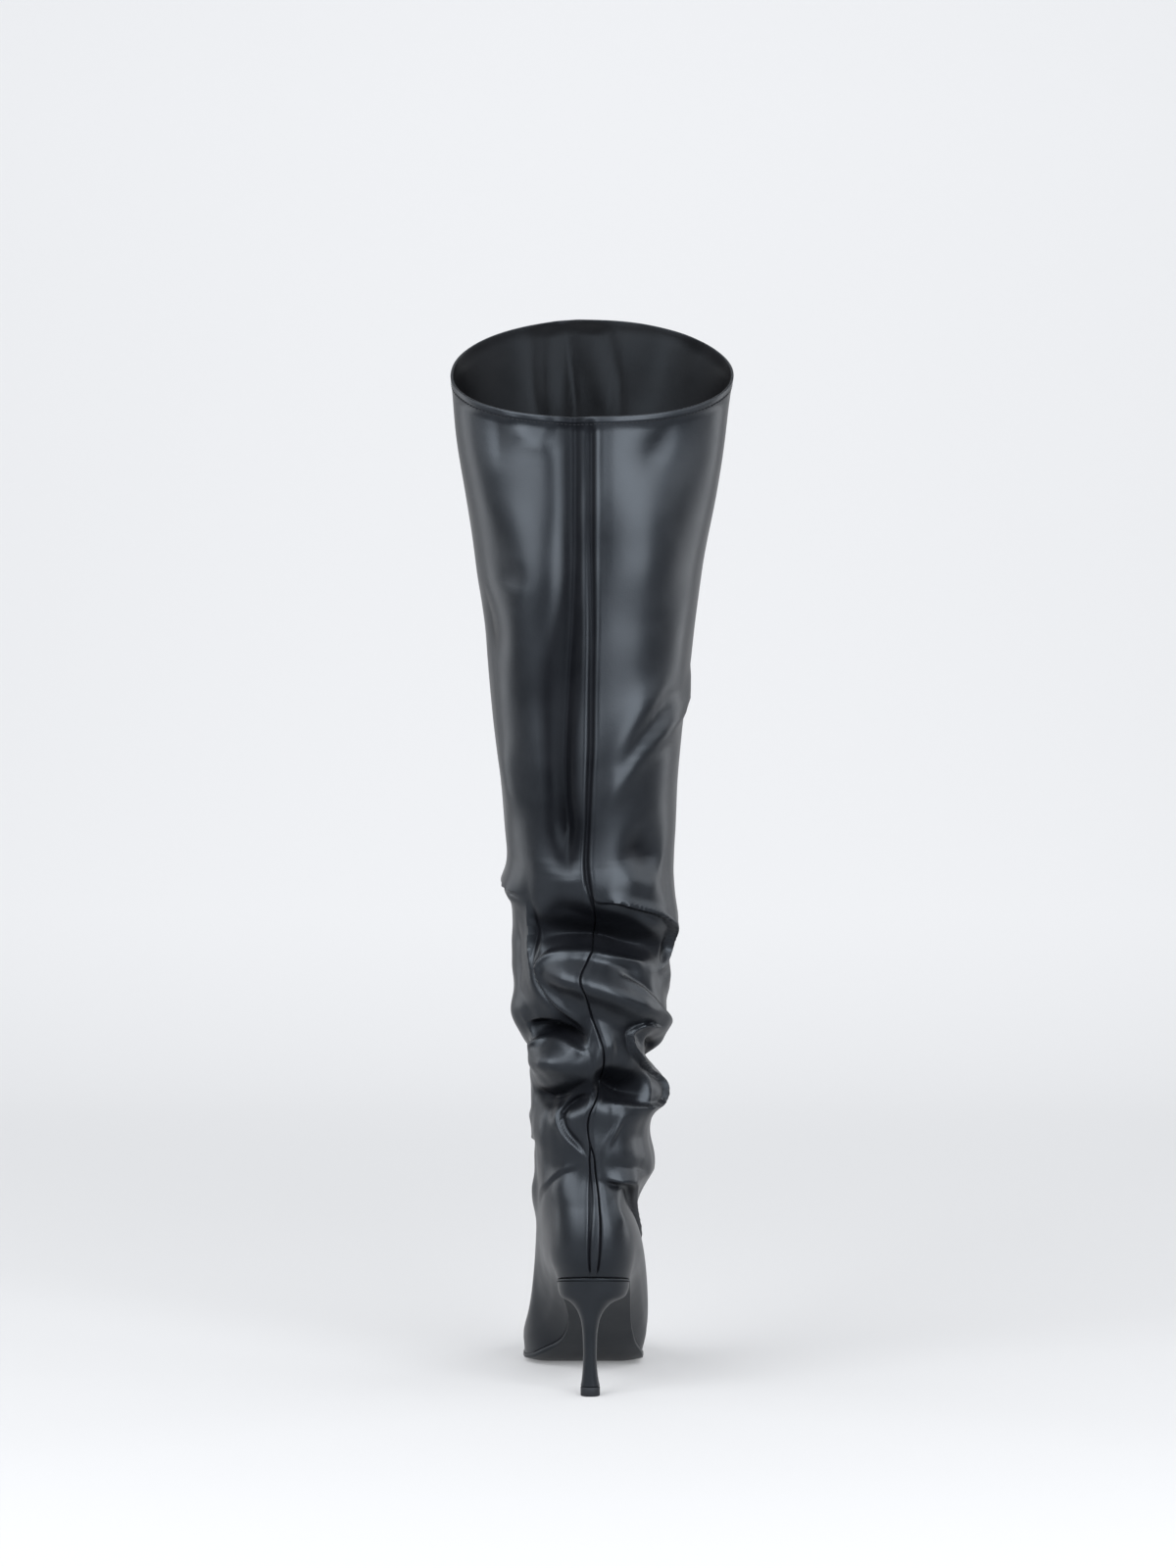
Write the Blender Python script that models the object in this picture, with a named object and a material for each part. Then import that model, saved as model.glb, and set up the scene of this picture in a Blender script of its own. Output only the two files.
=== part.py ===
"""Right thigh high boot with a slouched shaft and a slim covered heel, in metres, +Z up.

The origin is the middle of the top piece's underside. +Y runs from heel to toe and +X to the outer
side of the right foot, so the inner (medial) side is at -X.
"""

import math

import bmesh
import bpy
import numpy as np

# Foot and last sizes
FOOT_LENGTH = 0.240
BALL_WIDTH = 0.087
SEAT_WIDTH = 0.050
HEEL_HEIGHT = 0.080
HEEL_PITCH = 0.013
TOE_SPRING = 0.010
SEAT_SHIFT = 0.0024
TOE_SHIFT = 0.009

# Upper sizes
UPPER_WALL = 0.0020
UPPER_BALL_WIDTH = 0.0925
ANKLE_MEDIAL = 0.0385
ANKLE_LATERAL = 0.0380
ANKLE_BACK_HEIGHT = 0.150
ANKLE_BACK = 0.006
ANKLE_FRONT = 0.097
ANKLE_RISE = 0.020
SHAFT_LENGTH = 0.514
COLLAR_MEDIAL = 0.0965
COLLAR_LATERAL = 0.0990
COLLAR_BACK = 0.030
COLLAR_FRONT = 0.100
COLLAR_RISE = 0.082
COLLAR_EDGE_HEIGHT = 0.0035
COLLAR_EDGE_STEP = 0.0006

# Sole and heel sizes
OUTSOLE_THICKNESS = 0.0030
SEAT_THICKNESS = 0.0016
SOLE_EDGE = 0.0010
SOLE_CROWN = 0.0030
INSOLE_THICKNESS = 0.0016
TOP_PIECE_HEIGHT = 0.0063
TIP_WIDTH = 0.0130
TIP_DEPTH = 0.0125
STEM_WIDTH = 0.0094
BREAST = 0.0350
FIT_GAP = 0.0003

# Mesh steps
COLUMNS = 46
FOLD_ROWS = 32
PLAIN_ROWS = 8
FOLDS_END = 0.42
HEEL_COLUMNS = 28

SHEET_STATION_CLEAR = 1.5
FOLD_STEPS = 14
SHARP_EDGE_DEGREES = 40

# How the front of a shaft ring climbs over its back, and the length of one radian round the folds
SHAFT_ANGLE_POWER = 1.15
FOLD_TURN_LENGTH = 0.055

# Underside of the sole from the heel seat to the toe: share of the foot length, height as a share of
# the heel height, then of the toe spring.
SOLE_PROFILE = (
    # along, heel share, spring share
    (0.00, 1.000, 0.00),
    (0.10, 0.944, 0.00),
    (0.20, 0.825, 0.00),
    (0.30, 0.638, 0.00),
    (0.40, 0.412, 0.00),
    (0.50, 0.181, 0.00),
    (0.57, 0.056, 0.00),
    (0.63, 0.008, 0.00),
    (0.66, 0.000, 0.00),
    (0.78, 0.000, 0.00),
    (0.86, 0.000, 0.20),
    (0.94, 0.000, 0.60),
    (1.00, 0.000, 1.00),
)

# Plan outline of the sole: share of the foot length, then how far its middle follows the seat's shift
# and the toe's shift, then its half width as a share of half the seat and of half the ball.
SOLE_PLAN = (
    # along, seat shift, toe shift, seat half, ball half
    (0.00, 1.00, 0.00, 1.000, 0.000),
    (0.10, 1.00, 0.00, 1.010, 0.000),
    (0.20, 1.50, 0.00, 0.980, 0.000),
    (0.30, 2.50, 0.00, 0.900, 0.000),
    (0.40, 2.90, 0.00, 0.800, 0.060),
    (0.48, 2.10, 0.00, 0.450, 0.375),
    (0.55, 0.60, 0.16, 0.120, 0.790),
    (0.625, 0.00, 0.45, 0.000, 0.975),
    (0.69, 0.00, 0.52, 0.000, 1.000),
    (0.76, 0.00, 0.56, 0.000, 0.950),
    (0.83, 0.00, 0.62, 0.000, 0.830),
    (0.90, 0.00, 0.74, 0.000, 0.640),
    (0.96, 0.00, 0.90, 0.000, 0.440),
    (1.00, 0.00, 1.00, 0.000, 0.300),
)
HEEL_ROUND = 0.105
TOE_ROUND = 0.050

# Shares of the half width at which a sheet of the sole has its lengthwise lines
SOLE_ACROSS = (-1.0, -0.84, -0.62, 0.0, 0.62, 0.84, 1.0)

# The sole's edges curl up outside this share of the half width, from the waist to the ball, and the
# outsole grows from its thin seat to its full thickness between two shares of the foot length.
CROWN_EDGE = 0.62
CROWN_POWER = 1.6
CROWN_START = 0.45
CROWN_FULL = 0.65
THICKEN_START = 0.10
THICKEN_FULL = 0.45

# Rings of the foot from the feather line to the ankle. Back and front columns say how far the ring's
# ends have gone from the feather line (0) to the ankle (1). Medial and lateral are its half widths as
# shares of half the upper's ball width, and open is how far it has left the sole's outline for its
# own oval.
FOOT_RINGS = (
    # share, back out, back up, front in, front up, medial, lateral, open
    (0.00, 0.00, 0.000, 0.000, 0.000, 0.98, 0.98, 0.00),
    (0.08, 0.28, 0.065, -0.010, 0.030, 1.02, 1.00, 0.16),
    (0.17, 0.48, 0.150, 0.002, 0.075, 1.06, 0.99, 0.38),
    (0.27, 0.58, 0.250, 0.070, 0.118, 1.02, 0.95, 0.60),
    (0.37, 0.58, 0.360, 0.215, 0.152, 0.95, 0.89, 0.78),
    (0.48, 0.46, 0.480, 0.410, 0.200, 0.90, 0.82, 0.90),
    (0.59, 0.26, 0.600, 0.600, 0.285, 0.86, 0.74, 0.97),
    (0.70, 0.02, 0.710, 0.760, 0.420, 0.83, 0.66, 1.00),
    (0.80, -0.24, 0.810, 0.880, 0.600, 0.82, 0.63, 1.00),
    (0.90, -0.60, 0.900, 0.965, 0.800, 0.84, 0.68, 1.00),
    (1.00, -1.00, 1.000, 1.000, 1.000, 0.83, 0.83, 1.00),
)
HEEL_BULGE = 0.0095
ANKLE_TURN_START = 0.5
ANKLE_TURN_POWER = 1.5
ANKLE_SIDES_START = 0.9
OVAL_FULLNESS_BACK = 0.72
OVAL_FULLNESS_FRONT = 0.92

# Sides of the shaft from ankle to collar, each as its share of the way from the ankle's size to the
# collar's.
SHAFT_SECTIONS = (
    # up, medial, lateral, back, front
    (0.0, 0.000, 0.000, 0.000, 0.00),
    (0.1, 0.060, 0.115, 0.167, -0.33),
    (0.2, 0.200, 0.230, 0.333, 0.00),
    (0.3, 0.250, 0.295, 0.500, 0.33),
    (0.4, 0.320, 0.344, 0.625, 0.67),
    (0.5, 0.405, 0.377, 0.750, 0.67),
    (0.6, 0.510, 0.475, 0.833, 1.00),
    (0.7, 0.610, 0.574, 0.917, 1.33),
    (0.8, 0.740, 0.713, 0.958, 1.33),
    (0.9, 0.900, 0.877, 1.000, 1.33),
    (1.0, 1.000, 1.000, 1.000, 1.00),
)

# Slouch folds of the shaft. Each runs from a start over a middle to an end, given in degrees from the
# back seam (outer side positive) and as a share of the shaft's length. Half width and push are shares
# of FOLD_DEPTH: push is outward for a roll and inward for a trough, and sag lowers the leather there.
FOLD_DEPTH = 0.010
FOLD_END_STRENGTH = 0.15
FOLDS = (
    # start deg, start up, middle deg, middle up, end deg, end up, half width, push, sag
    (-100, 0.365, 5, 0.385, 100, 0.300, 1.35, 0.75, 0.60),
    (-42, 0.330, 5, 0.330, 70, 0.290, 0.90, -1.55, 0.00),
    (-44, 0.268, 5, 0.256, 95, 0.165, 1.15, 0.85, 0.50),
    (-120, 0.200, -88, 0.195, -60, 0.225, 1.20, 0.50, 0.00),
    (-125, 0.128, -90, 0.135, -60, 0.180, 0.75, -0.55, 0.00),
    (-60, 0.185, -30, 0.196, 0, 0.185, 0.80, -1.20, 0.00),
    (55, 0.160, 85, 0.132, 120, 0.135, 0.75, -1.20, 0.00),
    (-66, 0.140, -35, 0.150, 0, 0.150, 1.00, 0.70, 0.30),
    (8, 0.150, 25, 0.140, 50, 0.118, 1.05, -1.50, 0.00),
    (-75, 0.092, -30, 0.100, 6, 0.118, 0.80, -0.80, 0.00),
    (20, 0.085, 80, 0.090, 130, 0.095, 1.30, 0.80, 0.20),
    (8, 0.030, 70, 0.000, 120, 0.000, 1.50, 0.85, 0.50),
    (-85, 0.050, -50, 0.050, -10, 0.050, 1.30, 0.30, 0.20),
    (20, -0.045, 70, -0.055, 110, -0.055, 0.90, -0.40, 0.00),
    (105, 0.345, 180, 0.300, 250, 0.350, 1.50, 0.65, 0.40),
    (105, 0.270, 180, 0.225, 245, 0.270, 1.20, -0.80, 0.00),
    (115, 0.205, 180, 0.165, 240, 0.200, 1.50, 0.65, 0.40),
    (115, 0.130, 180, 0.100, 240, 0.120, 1.20, -0.75, 0.00),
    (120, 0.060, 180, 0.045, 240, 0.050, 1.50, 0.55, 0.30),
)

# Heel block from its tip to the seat: share of the local height, and how far the width, the back line
# and the breast line have opened from the stem's slimmest size to the seat's full one.
HEEL_SECTIONS = (
    # up, width, back, breast
    (0.000, 0.095, 0.000, 0.030),
    (0.040, 0.065, 0.000, 0.015),
    (0.180, 0.010, 0.010, 0.000),
    (0.390, 0.000, 0.060, 0.010),
    (0.570, 0.045, 0.200, 0.060),
    (0.660, 0.120, 0.330, 0.130),
    (0.740, 0.270, 0.480, 0.270),
    (0.800, 0.480, 0.610, 0.450),
    (0.850, 0.800, 0.730, 0.680),
    (0.920, 0.940, 0.880, 0.900),
    (1.000, 0.985, 0.985, 1.000),
)
HEEL_BACK_FULLNESS = 0.90
HEEL_BREAST_FULLNESS = 0.60

# Material colours
LEATHER_BLACK = (0.017, 0.017, 0.019, 1.0)
SOLE_BLACK = (0.012, 0.012, 0.013, 1.0)
INSOLE_BLACK = (0.035, 0.034, 0.034, 1.0)
TOP_PIECE_BLACK = (0.010, 0.010, 0.010, 1.0)


def clear_scene():
    """Removes every object of the open scene."""
    for item in list(bpy.data.objects):
        bpy.data.objects.remove(item, do_unlink=True)


def smooth_table(table, column, at):
    """Value of one column of a table at a place along its first column, on a smooth curve."""
    place = np.array([row[0] for row in table], dtype=float)
    value = np.array([row[column] for row in table], dtype=float)
    slope = np.gradient(value, place)
    at = np.clip(np.asarray(at, dtype=float), place[0], place[-1])
    index = np.clip(np.searchsorted(place, at, side="right") - 1, 0, len(place) - 2)
    step = place[index + 1] - place[index]
    share = (at - place[index]) / step
    rest = 1.0 - share
    start = value[index] * (1.0 + 2.0 * share) * rest ** 2
    end = value[index + 1] * (3.0 - 2.0 * share) * share ** 2
    lean = slope[index] * share * rest ** 2 - slope[index + 1] * share ** 2 * rest
    return start + end + lean * step


def along_of(y):
    """Share of the foot length at a place along the boot."""
    return (y + HEEL_PITCH) / FOOT_LENGTH


def flat_spot():
    """Where the flat spot under the ball starts and ends, as shares of the foot length."""
    flat = [row[0] for row in SOLE_PROFILE if row[1] == 0.0 and row[2] == 0.0]
    return flat[0], flat[-1]


def sole_height(along):
    """Height of the sole's underside on its middle line."""
    along = np.asarray(along, dtype=float)
    flat_from, flat_to = flat_spot()
    curve = smooth_table(SOLE_PROFILE, 1, along) * HEEL_HEIGHT + smooth_table(SOLE_PROFILE, 2, along) * TOE_SPRING
    is_flat = (along >= flat_from) & (along <= flat_to)
    return np.where(is_flat, 0.0, np.maximum(curve, 0.0))


def sole_middle(along):
    """Sideways place of the sole's middle line."""
    return smooth_table(SOLE_PLAN, 1, along) * SEAT_SHIFT - smooth_table(SOLE_PLAN, 2, along) * TOE_SHIFT


def sole_half_width(along):
    """Half width of the sole, with the heel and the toe rounded off."""
    along = np.clip(np.asarray(along, dtype=float), 0.0, 1.0)
    width = smooth_table(SOLE_PLAN, 3, along) * SEAT_WIDTH / 2 + smooth_table(SOLE_PLAN, 4, along) * BALL_WIDTH / 2
    heel_end = np.clip(1.0 - along / HEEL_ROUND, 0.0, 1.0)
    toe_end = np.clip(1.0 - (1.0 - along) / TOE_ROUND, 0.0, 1.0)
    return width * np.sqrt(1.0 - heel_end ** 2) * np.sqrt(1.0 - toe_end ** 2)


def sole_crown(along, across):
    """How far the sole's edges rise over its middle line, most of all under the ball."""
    along = np.asarray(along, dtype=float)
    under_ball = np.clip((along - CROWN_START) / (CROWN_FULL - CROWN_START), 0.0, 1.0)
    edge = np.clip((np.abs(across) - CROWN_EDGE) / (1.0 - CROWN_EDGE), 0.0, 1.0)
    return SOLE_CROWN * under_ball * edge ** CROWN_POWER


def sole_thickness(along):
    """The outsole is thin under the heel seat and full from the waist on."""
    along = np.asarray(along, dtype=float)
    share = np.clip((along - THICKEN_START) / (THICKEN_FULL - THICKEN_START), 0.0, 1.0)
    return SEAT_THICKNESS + (OUTSOLE_THICKNESS - SEAT_THICKNESS) * share


def sole_top(x, y):
    """Height of the outsole's upper face at a place."""
    along = along_of(np.asarray(y, dtype=float))
    half = np.maximum(sole_half_width(along), SEAT_WIDTH / 10)
    across = np.clip((x - sole_middle(along)) / half, -1.0, 1.0)
    return sole_height(along) + sole_crown(along, across) + sole_thickness(along)


def ring_angles():
    """Angles round the boot from the back seam, outer side first."""
    return np.arange(COLUMNS) * 2.0 * math.pi / COLUMNS


def ring_share(angle):
    """0 at the back of a ring and 1 at its front."""
    return (1.0 - np.cos(angle)) / 2.0


def foot_ring(share, angle):
    """Points of one ring between the feather line (0) and the ankle (1)."""
    column = [float(smooth_table(FOOT_RINGS, index, share)) for index in range(1, 8)]
    back_out, back_up, front_in, front_up, medial, lateral, opened = column
    seat_back = -HEEL_PITCH + SOLE_EDGE
    toe_front = FOOT_LENGTH - HEEL_PITCH - SOLE_EDGE
    seat_height = sole_top(0.0, seat_back) + FIT_GAP
    toe_height = sole_top(0.0, toe_front) + FIT_GAP
    if back_out >= 0.0:
        back_y = seat_back - HEEL_BULGE * back_out
    else:
        back_y = seat_back + (-ANKLE_BACK - seat_back) * -back_out
    back_z = seat_height + (ANKLE_BACK_HEIGHT - seat_height) * back_up
    front_y = toe_front + (ANKLE_FRONT - toe_front) * front_in
    front_z = toe_height + (ANKLE_BACK_HEIGHT + ANKLE_RISE - toe_height) * front_up
    k = ring_share(angle)
    y = back_y + (front_y - back_y) * k
    side = np.sign(np.sin(angle))
    half = sole_half_width(k) - SOLE_EDGE * np.abs(np.sin(angle))
    fullness = OVAL_FULLNESS_BACK + (OVAL_FULLNESS_FRONT - OVAL_FULLNESS_BACK) * k
    girth = np.where(side > 0, lateral, medial) * UPPER_BALL_WIDTH / 2
    oval = girth * np.abs(np.sin(angle)) ** fullness
    to_ankle = np.clip((share - ANKLE_TURN_START) / (1.0 - ANKLE_TURN_START), 0.0, 1.0) ** ANKLE_TURN_POWER
    at_ankle = np.clip((share - ANKLE_SIDES_START) / (1.0 - ANKLE_SIDES_START), 0.0, 1.0)
    ankle_half = np.where(side > 0, ANKLE_LATERAL, ANKLE_MEDIAL) * np.abs(np.sin(angle))
    oval = oval * (1.0 - at_ankle) + ankle_half * at_ankle
    middle = sole_middle(k) * (1.0 - opened ** 2) + SEAT_SHIFT * (1.0 - k) * opened ** 2 * (1.0 - to_ankle)
    x = middle + side * (half * (1.0 - opened) + oval * opened)
    back_rise = back_z - sole_top(0.0, back_y) - FIT_GAP
    front_rise = front_z - sole_top(0.0, front_y) - FIT_GAP
    over_sole = sole_top(x, y) + FIT_GAP + back_rise + (front_rise - back_rise) * k
    ring_line = back_z + (front_z - back_z) * k ** SHAFT_ANGLE_POWER
    z = over_sole * (1.0 - to_ankle) + ring_line * to_ankle
    return np.stack([x, y, z], axis=-1)


def shaft_ring(up, angle):
    """Points of one ring of the shaft, from the ankle (0) to the collar (1), without its folds."""
    medial = ANKLE_MEDIAL + (COLLAR_MEDIAL - ANKLE_MEDIAL) * smooth_table(SHAFT_SECTIONS, 1, up)
    lateral = ANKLE_LATERAL + (COLLAR_LATERAL - ANKLE_LATERAL) * smooth_table(SHAFT_SECTIONS, 2, up)
    back = ANKLE_BACK + (COLLAR_BACK - ANKLE_BACK) * smooth_table(SHAFT_SECTIONS, 3, up)
    front = ANKLE_FRONT + (COLLAR_FRONT - ANKLE_FRONT) * smooth_table(SHAFT_SECTIONS, 4, up)
    rise = ANKLE_RISE + (COLLAR_RISE - ANKLE_RISE) * up ** 2
    k = ring_share(angle)
    half = np.where(np.sin(angle) > 0, lateral, medial)
    return np.stack([
        half * np.sin(angle),
        -back + (front + back) * k,
        ANKLE_BACK_HEIGHT + SHAFT_LENGTH * up + rise * k ** SHAFT_ANGLE_POWER,
    ], axis=-1)


def fold_path(fold):
    """Places along one fold, as degrees and shares of the shaft's length."""
    t = np.linspace(0.0, 1.0, FOLD_STEPS)
    start = np.array(fold[0:2], dtype=float)
    middle = np.array(fold[2:4], dtype=float)
    end = np.array(fold[4:6], dtype=float)
    bend = 2.0 * middle - (start + end) / 2.0
    return (np.outer((1 - t) ** 2, start) + np.outer(2 * t * (1 - t), bend) + np.outer(t ** 2, end)), t


def fold_shift(up, angle):
    """Outward push and downward sag of the leather at a height, for each angle round the shaft."""
    push = np.zeros_like(angle)
    sag = np.zeros_like(angle)
    degrees = np.degrees(angle)
    for fold in FOLDS:
        path, t = fold_path(fold)
        half_width = fold[6] * FOLD_DEPTH
        turn = (degrees[:, None] - path[None, :, 0] + 180.0) % 360.0 - 180.0
        across = np.radians(turn) * FOLD_TURN_LENGTH
        rise = (up - path[None, :, 1]) * SHAFT_LENGTH
        fade = np.minimum(1.0, 4.0 * t * (1.0 - t) + FOLD_END_STRENGTH)
        weight = fade[None, :] * np.exp(-(across ** 2 + rise ** 2) / half_width ** 2)
        strongest = weight.max(axis=1)
        push += fold[7] * FOLD_DEPTH * strongest
        sag += fold[8] * FOLD_DEPTH * strongest
    return push, sag


def boot_rows():
    """Every row of the upper from the feather line to the collar, as its part of the boot and place."""
    rows = [("foot", share) for share in [row[0] for row in FOOT_RINGS][:-1]]
    edge_start = 1.0 - COLLAR_EDGE_HEIGHT / SHAFT_LENGTH
    folded = np.linspace(0.0, FOLDS_END, FOLD_ROWS + 1)[:-1]
    plain = np.linspace(FOLDS_END, edge_start, PLAIN_ROWS + 1)
    for place in np.concatenate([folded, plain]):
        rows.append(("shaft", float(place)))
    rows.append(("edge", edge_start))
    rows.append(("edge", 1.0))
    return rows


def outward_normals(grid):
    """Unit normals of a closed sleeve of points, facing out."""
    round_way = np.roll(grid, -1, axis=1) - np.roll(grid, 1, axis=1)
    up_way = np.gradient(grid, axis=0)
    normal = np.cross(round_way, up_way)
    length = np.linalg.norm(normal, axis=2, keepdims=True)
    return normal / np.maximum(length, 1e-12)


def upper_grid():
    """Outer face of the upper without its turned edge, one row of points for each place in boot_rows."""
    angle = ring_angles()
    grid = []
    for part, place in boot_rows():
        if part == "foot":
            ring = foot_ring(place, angle)
            up = (place - 1.0) * (ANKLE_BACK_HEIGHT - HEEL_HEIGHT) / SHAFT_LENGTH
            hold = place ** 3
        else:
            ring = shaft_ring(place, angle)
            up = place
            hold = 1.0
        push, sag = fold_shift(up, angle)
        way_out = np.stack([np.sin(angle), -np.cos(angle), np.zeros_like(angle)], axis=-1)
        ring = ring + way_out * (push * hold)[:, None]
        ring[:, 2] -= sag * hold
        grid.append(ring)
    return np.array(grid)


def material(name, colour, roughness):
    """A plain surface with one colour."""
    made = bpy.data.materials.new(name)
    made.use_nodes = True
    surface = made.node_tree.nodes["Principled BSDF"]
    surface.inputs["Base Color"].default_value = colour
    surface.inputs["Roughness"].default_value = roughness
    surface.inputs["Metallic"].default_value = 0.0
    return made


def add_object(name, points, faces, surface):
    """One closed, smoothly shaded body from points and faces."""
    mesh = bpy.data.meshes.new(name)
    mesh.from_pydata([tuple(point) for point in points], [], faces)
    body = bmesh.new()
    body.from_mesh(mesh)
    bmesh.ops.recalc_face_normals(body, faces=body.faces)
    bmesh.ops.triangulate(body, faces=body.faces)
    body.to_mesh(mesh)
    body.free()
    mesh.shade_smooth()
    mesh.set_sharp_from_angle(angle=math.radians(SHARP_EDGE_DEGREES))
    mesh.materials.append(surface)
    made = bpy.data.objects.new(name, mesh)
    bpy.context.collection.objects.link(made)
    return made


def loop_faces(lower, upper, count):
    """Four-sided faces between two closed rings of points, given by their first indices."""
    faces = []
    for index in range(count):
        after = (index + 1) % count
        faces.append((lower + index, lower + after, upper + after, upper + index))
    return faces


def make_upper():
    """The leather sleeve from feather line to collar: an outer and an inner face joined at both ends."""
    skin = upper_grid()
    normal = outward_normals(skin)
    outer = skin.copy()
    rows = boot_rows()
    for index, (part, _) in enumerate(rows):
        if part == "edge":
            outer[index] += normal[index] * COLLAR_EDGE_STEP
    inner = skin - normal * UPPER_WALL
    flat_in = normal[0].copy()
    flat_in[:, 2] = 0.0
    flat_in /= np.linalg.norm(flat_in, axis=1, keepdims=True)
    inner[0] = skin[0] - flat_in * UPPER_WALL
    inner[0, :, 2] = sole_top(inner[0, :, 0], inner[0, :, 1]) + 2.0 * FIT_GAP
    inner[-1] = skin[-1] - normal[-2] * UPPER_WALL
    keep_inner = [index for index in range(len(rows)) if index != len(rows) - 2]
    outer_rows = list(outer)
    inner_rows = [inner[index] for index in keep_inner]
    points = np.concatenate(outer_rows + inner_rows)
    faces = []
    for index in range(len(outer_rows) - 1):
        faces += loop_faces(index * COLUMNS, (index + 1) * COLUMNS, COLUMNS)
    first_inner = len(outer_rows) * COLUMNS
    for index in range(len(inner_rows) - 1):
        lower = first_inner + index * COLUMNS
        faces += loop_faces(lower + COLUMNS, lower, COLUMNS)
    last_inner = first_inner + (len(inner_rows) - 1) * COLUMNS
    faces += loop_faces((len(outer_rows) - 1) * COLUMNS, last_inner, COLUMNS)
    faces += loop_faces(first_inner, 0, COLUMNS)
    return add_object("upper", points, faces, material("black leather", LEATHER_BLACK, 0.42))


def sole_stations(stations_from, stations_to):
    """Places along the sole: under the upper's own columns, and the ends of the flat spot."""
    edge = SOLE_EDGE / FOOT_LENGTH
    columns = edge + (1.0 - 2.0 * edge) * ring_share(ring_angles()[: COLUMNS // 2 + 1])
    flat_from, flat_to = flat_spot()
    places = sorted(set(columns[1:-1].tolist() + [flat_from, flat_to]))
    return [place for place in places if stations_from < place < stations_to]


def make_sheet(name, margin, low_face, high_face, surface):
    """A thin body with the sole's outline drawn in by a margin, between two faces given by functions."""
    back_y = -HEEL_PITCH + margin
    front_y = FOOT_LENGTH - HEEL_PITCH - margin
    clear = SHEET_STATION_CLEAR * margin / FOOT_LENGTH
    stations = sole_stations(clear, 1.0 - clear)
    count = len(SOLE_ACROSS)
    low = []
    high = []
    for place in stations:
        y = -HEEL_PITCH + FOOT_LENGTH * place
        half = sole_half_width(place) - margin * (2.0 - math.sqrt(4.0 * place * (1.0 - place)))
        for across in SOLE_ACROSS:
            x = float(sole_middle(place) + across * half)
            low.append((x, y, float(low_face(x, y))))
            high.append((x, y, float(high_face(x, y))))
    ends = []
    for place, y in ((0.0, back_y), (1.0, front_y)):
        x = float(sole_middle(along_of(y)))
        ends.append(((x, y, float(low_face(x, y))), (x, y, float(high_face(x, y)))))
    points = low + high + [ends[0][0], ends[0][1], ends[1][0], ends[1][1]]
    total = len(low)
    back_low, back_high, front_low, front_high = (2 * total + index for index in range(4))
    faces = []
    for row in range(len(stations) - 1):
        for column in range(count - 1):
            a = row * count + column
            b = a + 1
            faces.append((a, b, b + count, a + count))
            faces.append((total + a, total + a + count, total + b + count, total + b))
        for a, b in ((row * count, (row + 1) * count), (row * count + count - 1, (row + 2) * count - 1)):
            faces.append((a, b, total + b, total + a))
    last = total - count
    for column in range(count - 1):
        faces.append((back_low, column, column + 1))
        faces.append((back_high, total + column + 1, total + column))
        faces.append((front_low, last + column + 1, last + column))
        faces.append((front_high, total + last + column, total + last + column + 1))
    for corner in (0, count - 1):
        faces.append((back_low, corner, total + corner, back_high))
        faces.append((front_low, last + corner, total + last + corner, front_high))
    return add_object(name, points, faces, surface)


def outsole_low(x, y):
    """Underside of the outsole."""
    along = along_of(y)
    return sole_top(x, y) - sole_thickness(along)


def insole_low(x, y):
    """Underside of the insole, a fit gap over the outsole."""
    return sole_top(x, y) + FIT_GAP


def insole_high(x, y):
    """Upper face of the insole."""
    return insole_low(x, y) + INSOLE_THICKNESS


def heel_ring(up, width_share, back_share, breast_share):
    """One ring of the heel block, lying on the seat's own curve at its share of the height."""
    angle = np.arange(HEEL_COLUMNS) * 2.0 * math.pi / HEEL_COLUMNS
    half = STEM_WIDTH / 2 + (SEAT_WIDTH - STEM_WIDTH) / 2 * width_share
    back_y = -TIP_DEPTH / 2 + (-HEEL_PITCH + TIP_DEPTH / 2) * back_share
    slim_front = TIP_DEPTH / 2 * STEM_WIDTH / TIP_WIDTH
    front_y = slim_front + (BREAST - slim_front) * breast_share
    k = ring_share(angle)
    y = back_y + (front_y - back_y) * k
    fullness = np.where(k < 0.5, HEEL_BACK_FULLNESS, HEEL_BREAST_FULLNESS)
    fullness = HEEL_BACK_FULLNESS + (fullness - HEEL_BACK_FULLNESS) * max(0.0, min(1.0, width_share))
    x = SEAT_SHIFT * width_share + half * np.sign(np.sin(angle)) * np.abs(np.sin(angle)) ** fullness
    seat = sole_height(along_of(y)) - FIT_GAP
    foot = TOP_PIECE_HEIGHT + FIT_GAP
    z = foot + (seat - foot) * up
    return np.stack([x, y, z], axis=-1)


def make_stack(name, rings, surface):
    """A closed body through a stack of rings, bottom first."""
    count = len(rings[0])
    points = np.concatenate(rings)
    faces = []
    for index in range(len(rings) - 1):
        faces += loop_faces(index * count, (index + 1) * count, count)
    faces += cap_faces(0, count)
    faces += cap_faces((len(rings) - 1) * count, count)
    return add_object(name, points, faces, surface)


def cap_faces(first, count):
    """Strips across a ring of points, from its back to its front."""
    faces = [(first, first + 1, first + count - 1)]
    for index in range(1, count // 2 - 1):
        near = first + index
        far = first + count - index
        faces.append((near, near + 1, far - 1, far))
    middle = first + count // 2
    faces.append((middle - 1, middle, middle + 1))
    return faces


def make_heel():
    """The covered heel block between the top piece and the seat."""
    rings = [heel_ring(*row) for row in HEEL_SECTIONS]
    return make_stack("heel", rings, material("heel cover", LEATHER_BLACK, 0.30))


def make_top_piece():
    """The wearing slab under the heel's tip, with its underside on the floor."""
    tip = heel_ring(*HEEL_SECTIONS[0])
    low = tip.copy()
    low[:, 2] = 0.0
    high = tip.copy()
    high[:, 2] = TOP_PIECE_HEIGHT
    return make_stack("top_piece", [low, high], material("top piece", TOP_PIECE_BLACK, 0.55))


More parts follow.
